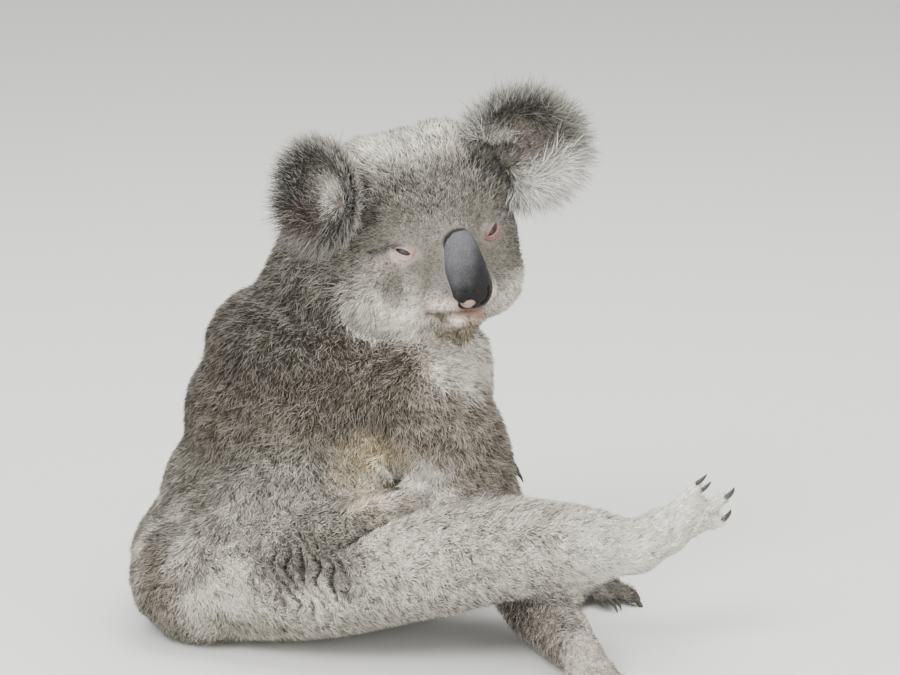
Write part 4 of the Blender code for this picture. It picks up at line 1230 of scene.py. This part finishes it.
# The ears' fur: soft white inside, a dark band behind the rim, and a long silver fringe all round.
EAR_DENSITY, EAR_WIDTH, FRINGE_FROM = 320.0, 0.00050, 0.66
EAR_SILVER = (0.40, 0.39, 0.36)
FRINGE = {"left": 0.0185, "right": 0.0130}
LOBE = {"left": (0.70, 0.68, 0.62), "right": (0.16, 0.15, 0.13)}
# place in the bowl as shares of its half width and half height, radii, colour and strength
EAR_MARKS = {
    "left": (
        ((0.10, -0.06), (0.46, 0.36), EAR_PINK, 0.75),
        ((-0.66, -0.42), (0.38, 0.36), EAR_BAND, 0.97),
        ((-0.50, 0.14), (0.42, 0.30), (0.70, 0.67, 0.60), 0.85),
        ((0.62, 0.10), (0.34, 0.50), MID_GREY, 0.70),
    ),
    "right": (
        ((-0.55, -0.55), (0.30, 0.55), EAR_BAND, 0.95),
        ((-0.20, -0.10), (0.34, 0.34), EAR_WHITE, 0.85),
        ((0.88, -0.10), (0.50, 1.10), EAR_BAND, 0.96),
        # Painted shade on the pink skin low in the right ear.
        ((0.35, -0.62), (0.40, 0.40), (0.085, 0.055, 0.050), 0.90),
    ),
}
for side in SIDES:
    faces = np.flatnonzero(face_owner == EAR_OWNER[side])
    picked, weights = roots_on(faces, np.full(len(faces), EAR_DENSITY))
    root = at_roots(points, picked, weights)
    normal = unit(at_roots(normals, picked, weights))
    axes = np.array(ear_axes(side))
    spot = along_axes(axes, root)
    sign = 1 if side == "left" else -1
    wide, tall = EAR_SKIN[side]
    shift_out, shift_up = EAR_CENTRE_SHIFT[side]
    outer = (spot[:, 1] * sign - shift_out) / wide
    upper = (spot[:, 2] - shift_up) / tall
    out = np.hypot(outer, upper)
    front = (normal @ axes[:3, 0]) > 0
    spring = spot - np.array((0.0, sign * (shift_out - 0.35 * wide), shift_up - 0.25 * tall))
    spring[:, 0] = 0.0
    way = unit(unit(spring) + 0.34 * draw.normal(0.0, 1.0, (len(root), 3))) @ axes[:3, :3].T
    way = unit(way - normal * np.sum(way * normal, axis=1, keepdims=True))
    ragged = 0.11 * draw.normal(0, 1, (len(root), 2))
    flat = np.stack([outer, upper], axis=1) + ragged
    lobe = smooth_step(-0.10, -0.50, upper) * smooth_step(-0.55, -0.15, outer)
    length = 0.0075 + FRINGE[side] * smooth_step(0.60, 0.95, out) + 0.0060 * lobe * front
    length *= draw.uniform(0.60, 1.30, len(root))
    colour = np.tile(np.array(MID_GREY), (len(root), 1))
    colour = laid_on(colour, EAR_BAND, 0.94 * smooth_step(0.48, 0.74, np.hypot(flat[:, 0], flat[:, 1])))
    colour = laid_on(colour, EAR_SILVER, 0.75 * smooth_step(0.90, 1.04, out))
    colour = laid_on(colour, LOBE[side], 0.95 * lobe)
    for place, radii, mark_colour, strength in EAR_MARKS[side]:
        colour = laid_on(colour, mark_colour, strength * patch(flat, place, radii, 0.5))
    colour = np.where(front[:, None], colour, laid_on(colour, MID_GREY, np.full(len(root), 0.85)))
    width = EAR_WIDTH * draw.uniform(0.7, 1.4, len(root))
    root_uv = np.einsum("nk,nkj->nj", weights, skin_uv[picked])
    lift = np.where(front, 34.0, 24.0)
    outside = out > FRINGE_FROM
    for label, part, look in (("fringe", outside, ear_fringe), ("down", ~outside, ear_down)):
        laid = (a[part] for a in (root, normal, way, length, width, lift))
        coat = tufts(f"coat_ear_{label}_{side}", SPINDLE, *laid, 0.40, colour[part], root_uv[part], 0.22, 0.34)
        finished(coat, look)

# ---------------------------------------------------------------------------------------------------
# The nose: a large bare pad of pebbled slate-black leather, grown into the muzzle, with two comma
# nostrils opening to the sides near its foot and a small pink spot on its lower edge.
# ---------------------------------------------------------------------------------------------------
nose_cage, _ = joined_solids(["nose"], 0.0)
nose = new_object("nose_pad", mesh_from(nose_cage, "nose_pad"))
round_off = nose.modifiers.new("round", "REMESH")
round_off.mode = "VOXEL"
round_off.voxel_size = 0.0006
settled(nose)
where = points_of(nose.data)
nose_edges = edges_of(nose.data)
nose_triangles = triangles_of(nose.data)
where = relaxed(where, nose_edges, 0.5, 14)
local = in_head(where)
outward = vertex_normals(where, nose_triangles)
NOSTRIL = ((0.0064, -0.0450), (0.0092, -0.0436), (0.0122, -0.0398), (0.0126, -0.0350))
NOSE_MIDDLE_LINE, SLIT_WIDTH = -0.0020, 0.0012


def nostril_reach(local, side):
    """Distance from a nostril's comma-shaped slit, as it looks from ahead."""
    nearest = np.full(len(local), 1.0)
    flat = np.stack([(local[:, 1] - NOSE_MIDDLE_LINE) * side, local[:, 2]], axis=1)
    for a, b in zip(NOSTRIL, NOSTRIL[1:]):
        a, b = np.array(a), np.array(b)
        along = np.clip((flat - a) @ (b - a) / ((b - a) @ (b - a)), 0, 1)
        nearest = np.minimum(nearest, np.linalg.norm(flat - (a + along[:, None] * (b - a)), axis=1))
    return nearest


slit = np.minimum(nostril_reach(local, -1), nostril_reach(local, 1))
in_slit = np.exp(-((slit / SLIT_WIDTH) ** 2))
cleft = np.exp(-(((local[:, 1] - NOSE_MIDDLE_LINE) / 0.0011) ** 2))
cleft *= 1 - smooth_step(-0.046, -0.038, local[:, 2])
dent = -0.0007 + 0.0022 * in_slit
dent += 0.0010 * cleft
where = where - outward * dent[:, None]
nose.data.vertices.foreach_set("co", where.astype(np.float32).ravel())
nose.data.update()
nose.data.shade_smooth()
local = in_head(where)
from_face = np.array([near_solid.find_nearest(Vector(p))[3] for p in where])
border = (1 - smooth_step(0.0004, 0.0013, from_face)) * smooth_step(-0.006, 0.000, local[:, 2])
set_attribute(nose.data, "nose_place", "FLOAT_VECTOR", local)
set_attribute(nose.data, "border", "FLOAT", border)
set_attribute(nose.data, "nostril", "FLOAT", in_slit)
PAD_FOOT, PAD_SHEEN = (0.006, 0.0055, 0.0055, 1), (0.125, 0.122, 0.135, 1)
PAD_RIM, NOSTRIL_DARK = (0.012, 0.010, 0.010, 1), (0.006, 0.005, 0.005, 1)
PAD_LIP, PAD_PINK = (0.20, 0.115, 0.105, 1), (0.44, 0.295, 0.245, 1)
nose_look, tree, shader = principled("nose leather")
spot = tree.nodes.new("ShaderNodeSeparateXYZ")
tree.links.new(attribute_node(tree, "nose_place").outputs["Vector"], spot.inputs[0])
place = object_place(tree)
pebble = tree.nodes.new("ShaderNodeTexVoronoi")
pebble.feature = "F1"
pebble.inputs["Scale"].default_value = 1100.0
tree.links.new(place, pebble.inputs["Vector"])
cloud = noise_node(tree, place, 110.0, 4.0)
# Painted sheen: the pad is painted a paler blue-grey towards its top and its right side, which face the key
# light, and near black low down.
slant = math_node(tree, "MULTIPLY_ADD", spot.outputs[1], -0.95, spot.outputs[2])
pad_sheen = ramp(tree, math_node(tree, "MULTIPLY_ADD", cloud, 0.020, slant), -0.022, 0.014)
pad_colour = colour_mix(tree, pad_sheen, PAD_FOOT, PAD_SHEEN)
for mark, mark_colour in (("border", PAD_RIM), ("nostril", NOSTRIL_DARK)):
    pad_colour = colour_mix(tree, attribute_node(tree, mark).outputs["Fac"], pad_colour, mark_colour)
pit = math_node(tree, "MULTIPLY_ADD", pebble.outputs["Distance"], 0.5, 0.75)
lip_side = inverse(tree, ramp(tree, spot.outputs[2], -0.0505, -0.0478))
pitted_lip = colour_mix(tree, lip_side, scaled_colour(tree, pad_colour, pit), PAD_LIP)
pink_up = math_node(tree, "MULTIPLY", math_node(tree, "ADD", spot.outputs[2], 0.0442), 285.0)
pink_across = math_node(tree, "MULTIPLY", math_node(tree, "ADD", spot.outputs[1], 0.0048), 265.0)
pink_squares = math_node(tree, "ADD", squared(tree, pink_up), squared(tree, pink_across))
pink_ragged = math_node(tree, "MULTIPLY_ADD", cloud, 0.8, pink_squares)
pink_spot = inverse(tree, ramp(tree, pink_ragged, 1.0, 1.7))
tree.links.new(colour_mix(tree, pink_spot, pitted_lip, PAD_PINK), shader.inputs["Base Color"])
tree.links.new(math_node(tree, "MULTIPLY_ADD", cloud, 0.25, 0.36), shader.inputs["Roughness"])
shader.inputs["Specular IOR Level"].default_value = 0.26
bump_node(tree, shader, pebble.outputs["Distance"], 1.0, 0.0009)
finished(nose, nose_look)
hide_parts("nose")

# ---------------------------------------------------------------------------------------------------
# The eyes: wet balls, very dark red-brown with a narrow upright pupil, set deep behind the lids so
# that only their slits show.
# ---------------------------------------------------------------------------------------------------
IRIS_DARK, IRIS_LIGHT = (0.012, 0.006, 0.006, 1), (0.040, 0.019, 0.018, 1)
PUPIL_BLACK, BALL_BROWN = (0.004, 0.003, 0.003, 1), (0.045, 0.020, 0.019, 1)
eye_look, tree, shader = principled("wet eye")
spot = tree.nodes.new("ShaderNodeSeparateXYZ")
gaze_way = attribute_node(tree, "gaze").outputs["Vector"]
tree.links.new(gaze_way, spot.inputs[0])
fibre = noise_node(tree, gaze_way, 9.0, 4.0)
iris_squares = math_node(tree, "ADD", squared(tree, spot.outputs[1]), squared(tree, spot.outputs[2]))
iris_reach = math_node(tree, "SQRT", iris_squares)
iris = colour_mix(tree, fibre, IRIS_DARK, IRIS_LIGHT)
narrow = math_node(tree, "ABSOLUTE", math_node(tree, "MULTIPLY", spot.outputs[1], 3.2))
pupil_reach = math_node(tree, "ADD", narrow, math_node(tree, "ABSOLUTE", spot.outputs[2]))
pupil = inverse(tree, ramp(tree, pupil_reach, 0.30, 0.42))
iris = colour_mix(tree, pupil, iris, PUPIL_BLACK)
round_iris = ramp(tree, iris_reach, 0.66, 0.76)
tree.links.new(colour_mix(tree, round_iris, iris, BALL_BROWN), shader.inputs["Base Color"])
shader.inputs["Roughness"].default_value = 0.28
shader.inputs["Coat Weight"].default_value = 0.2
shader.inputs["Coat Roughness"].default_value = 0.03
for side in SIDES:
    axes = eye_axes(side)
    cage = bmesh.new()
    bmesh.ops.create_uvsphere(cage, u_segments=40, v_segments=28, radius=EYE_RADIUS)
    for vertex in cage.verts:
        x, y, z = vertex.co
        vertex.co = Vector((z, x, y))
        bulge = smooth_step(0.72, 1.0, np.array([vertex.co.x / EYE_RADIUS]))[0]
        vertex.co *= 1.0 + 0.035 * float(bulge) - 0.01
    gaze = np.array([vertex.co / EYE_RADIUS for vertex in cage.verts])
    bmesh.ops.transform(cage, matrix=axes, verts=cage.verts)
    mesh = mesh_from(cage, f"eyeball_{side}")
    mesh.shade_smooth()
    set_attribute(mesh, "gaze", "FLOAT_VECTOR", gaze)
    eye = finished(new_object(f"eyeball_{side}", mesh), eye_look)
    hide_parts(f"eye_{side}")

# ---------------------------------------------------------------------------------------------------
# The claws: strong hooks of dark horn, clouded with a paler brown. Four stand on each foot, whose big
# toe has none, and five on each hand.
# ---------------------------------------------------------------------------------------------------
HORN_DARK, HORN_LIGHT = (0.012, 0.010, 0.009, 1), (0.075, 0.060, 0.050, 1)
claw_look, tree, shader = principled("claw horn")
streaks = noise_node(tree, object_place(tree), 700.0, 4.0)
tree.links.new(colour_mix(tree, streaks, HORN_DARK, HORN_LIGHT), shader.inputs["Base Color"])
tree.links.new(math_node(tree, "MULTIPLY_ADD", streaks, 0.3, 0.25), shader.inputs["Roughness"])
bump_node(tree, shader, streaks, 0.3, 0.0003)
CLAWS = [f"claw_foot_{side}_{toe}" for side in SIDES for toe in range(2, 6)]
CLAWS += [f"claw_hand_{side}_{finger}" for side in SIDES for finger in range(1, 6)]
for name in CLAWS:
    cage, _ = joined_solids([name], 0.0)
    hook = f"hook_{name.removeprefix('claw_')}"
    claw = new_object(hook, mesh_from(cage, hook))
    round_off = claw.modifiers.new("round", "SUBSURF")
    round_off.levels = 1
    round_off.render_levels = 1
    settled(claw)
    claw.data.shade_smooth()
    finished(claw, claw_look)
    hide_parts(name)

# ---------------------------------------------------------------------------------------------------
# The setting: a plain pale floor, soft studio light and the camera.
# ---------------------------------------------------------------------------------------------------
FLOOR_SIZE = 40.0
floor_cage = bmesh.new()
bmesh.ops.create_grid(floor_cage, x_segments=1, y_segments=1, size=FLOOR_SIZE)
floor = new_object("floor", mesh_from(floor_cage, "floor"))
floor_look, tree, shader = principled("pale floor")
shader.inputs["Base Color"].default_value = (0.75, 0.75, 0.73, 1)
shader.inputs["Roughness"].default_value = 0.85
floor.data.materials.append(floor_look)


LIT_PLACE = Vector((0, 0, 0.2))


def soft_light(name, place, size, power):
    """A round lamp that faces the middle of the animal."""
    lamp = bpy.data.lights.new(name, "AREA")
    lamp.shape = "DISK"
    lamp.size = size
    lamp.energy = power
    holder = new_object(name, lamp)
    holder.location = place
    holder.rotation_euler = (LIT_PLACE - Vector(place)).to_track_quat("-Z", "Y").to_euler()


soft_light("key", (-1.1, -1.7, 2.3), 1.6, 88.0)
soft_light("top", (0.2, 0.4, 2.6), 2.2, 64.0)
soft_light("front", (-0.3, -2.6, 0.55), 2.0, 26.0)
soft_light("fill", (2.0, -1.6, 0.9), 1.8, 22.0)
world = bpy.data.worlds.new("studio")
world.use_nodes = True
backdrop = world.node_tree.nodes["Background"]
backdrop.inputs["Color"].default_value = (0.97, 0.965, 0.95, 1)
backdrop.inputs["Strength"].default_value = 1.0
bpy.context.scene.world = world

CAMERA_AIM = Vector((0.018, 0.0364, 0.2142))
CAMERA_AWAY = 2.25
CAMERA_RISE = math.radians(14.0)
camera = bpy.data.cameras.new("camera")
camera.lens = 120
camera.sensor_width = 36
camera_holder = new_object("camera", camera)
looking = Vector((0.0, math.cos(CAMERA_RISE), -math.sin(CAMERA_RISE)))
camera_holder.location = CAMERA_AIM - looking * CAMERA_AWAY
camera_holder.rotation_euler = looking.to_track_quat("-Z", "Y").to_euler()
bpy.context.scene.camera = camera_holder
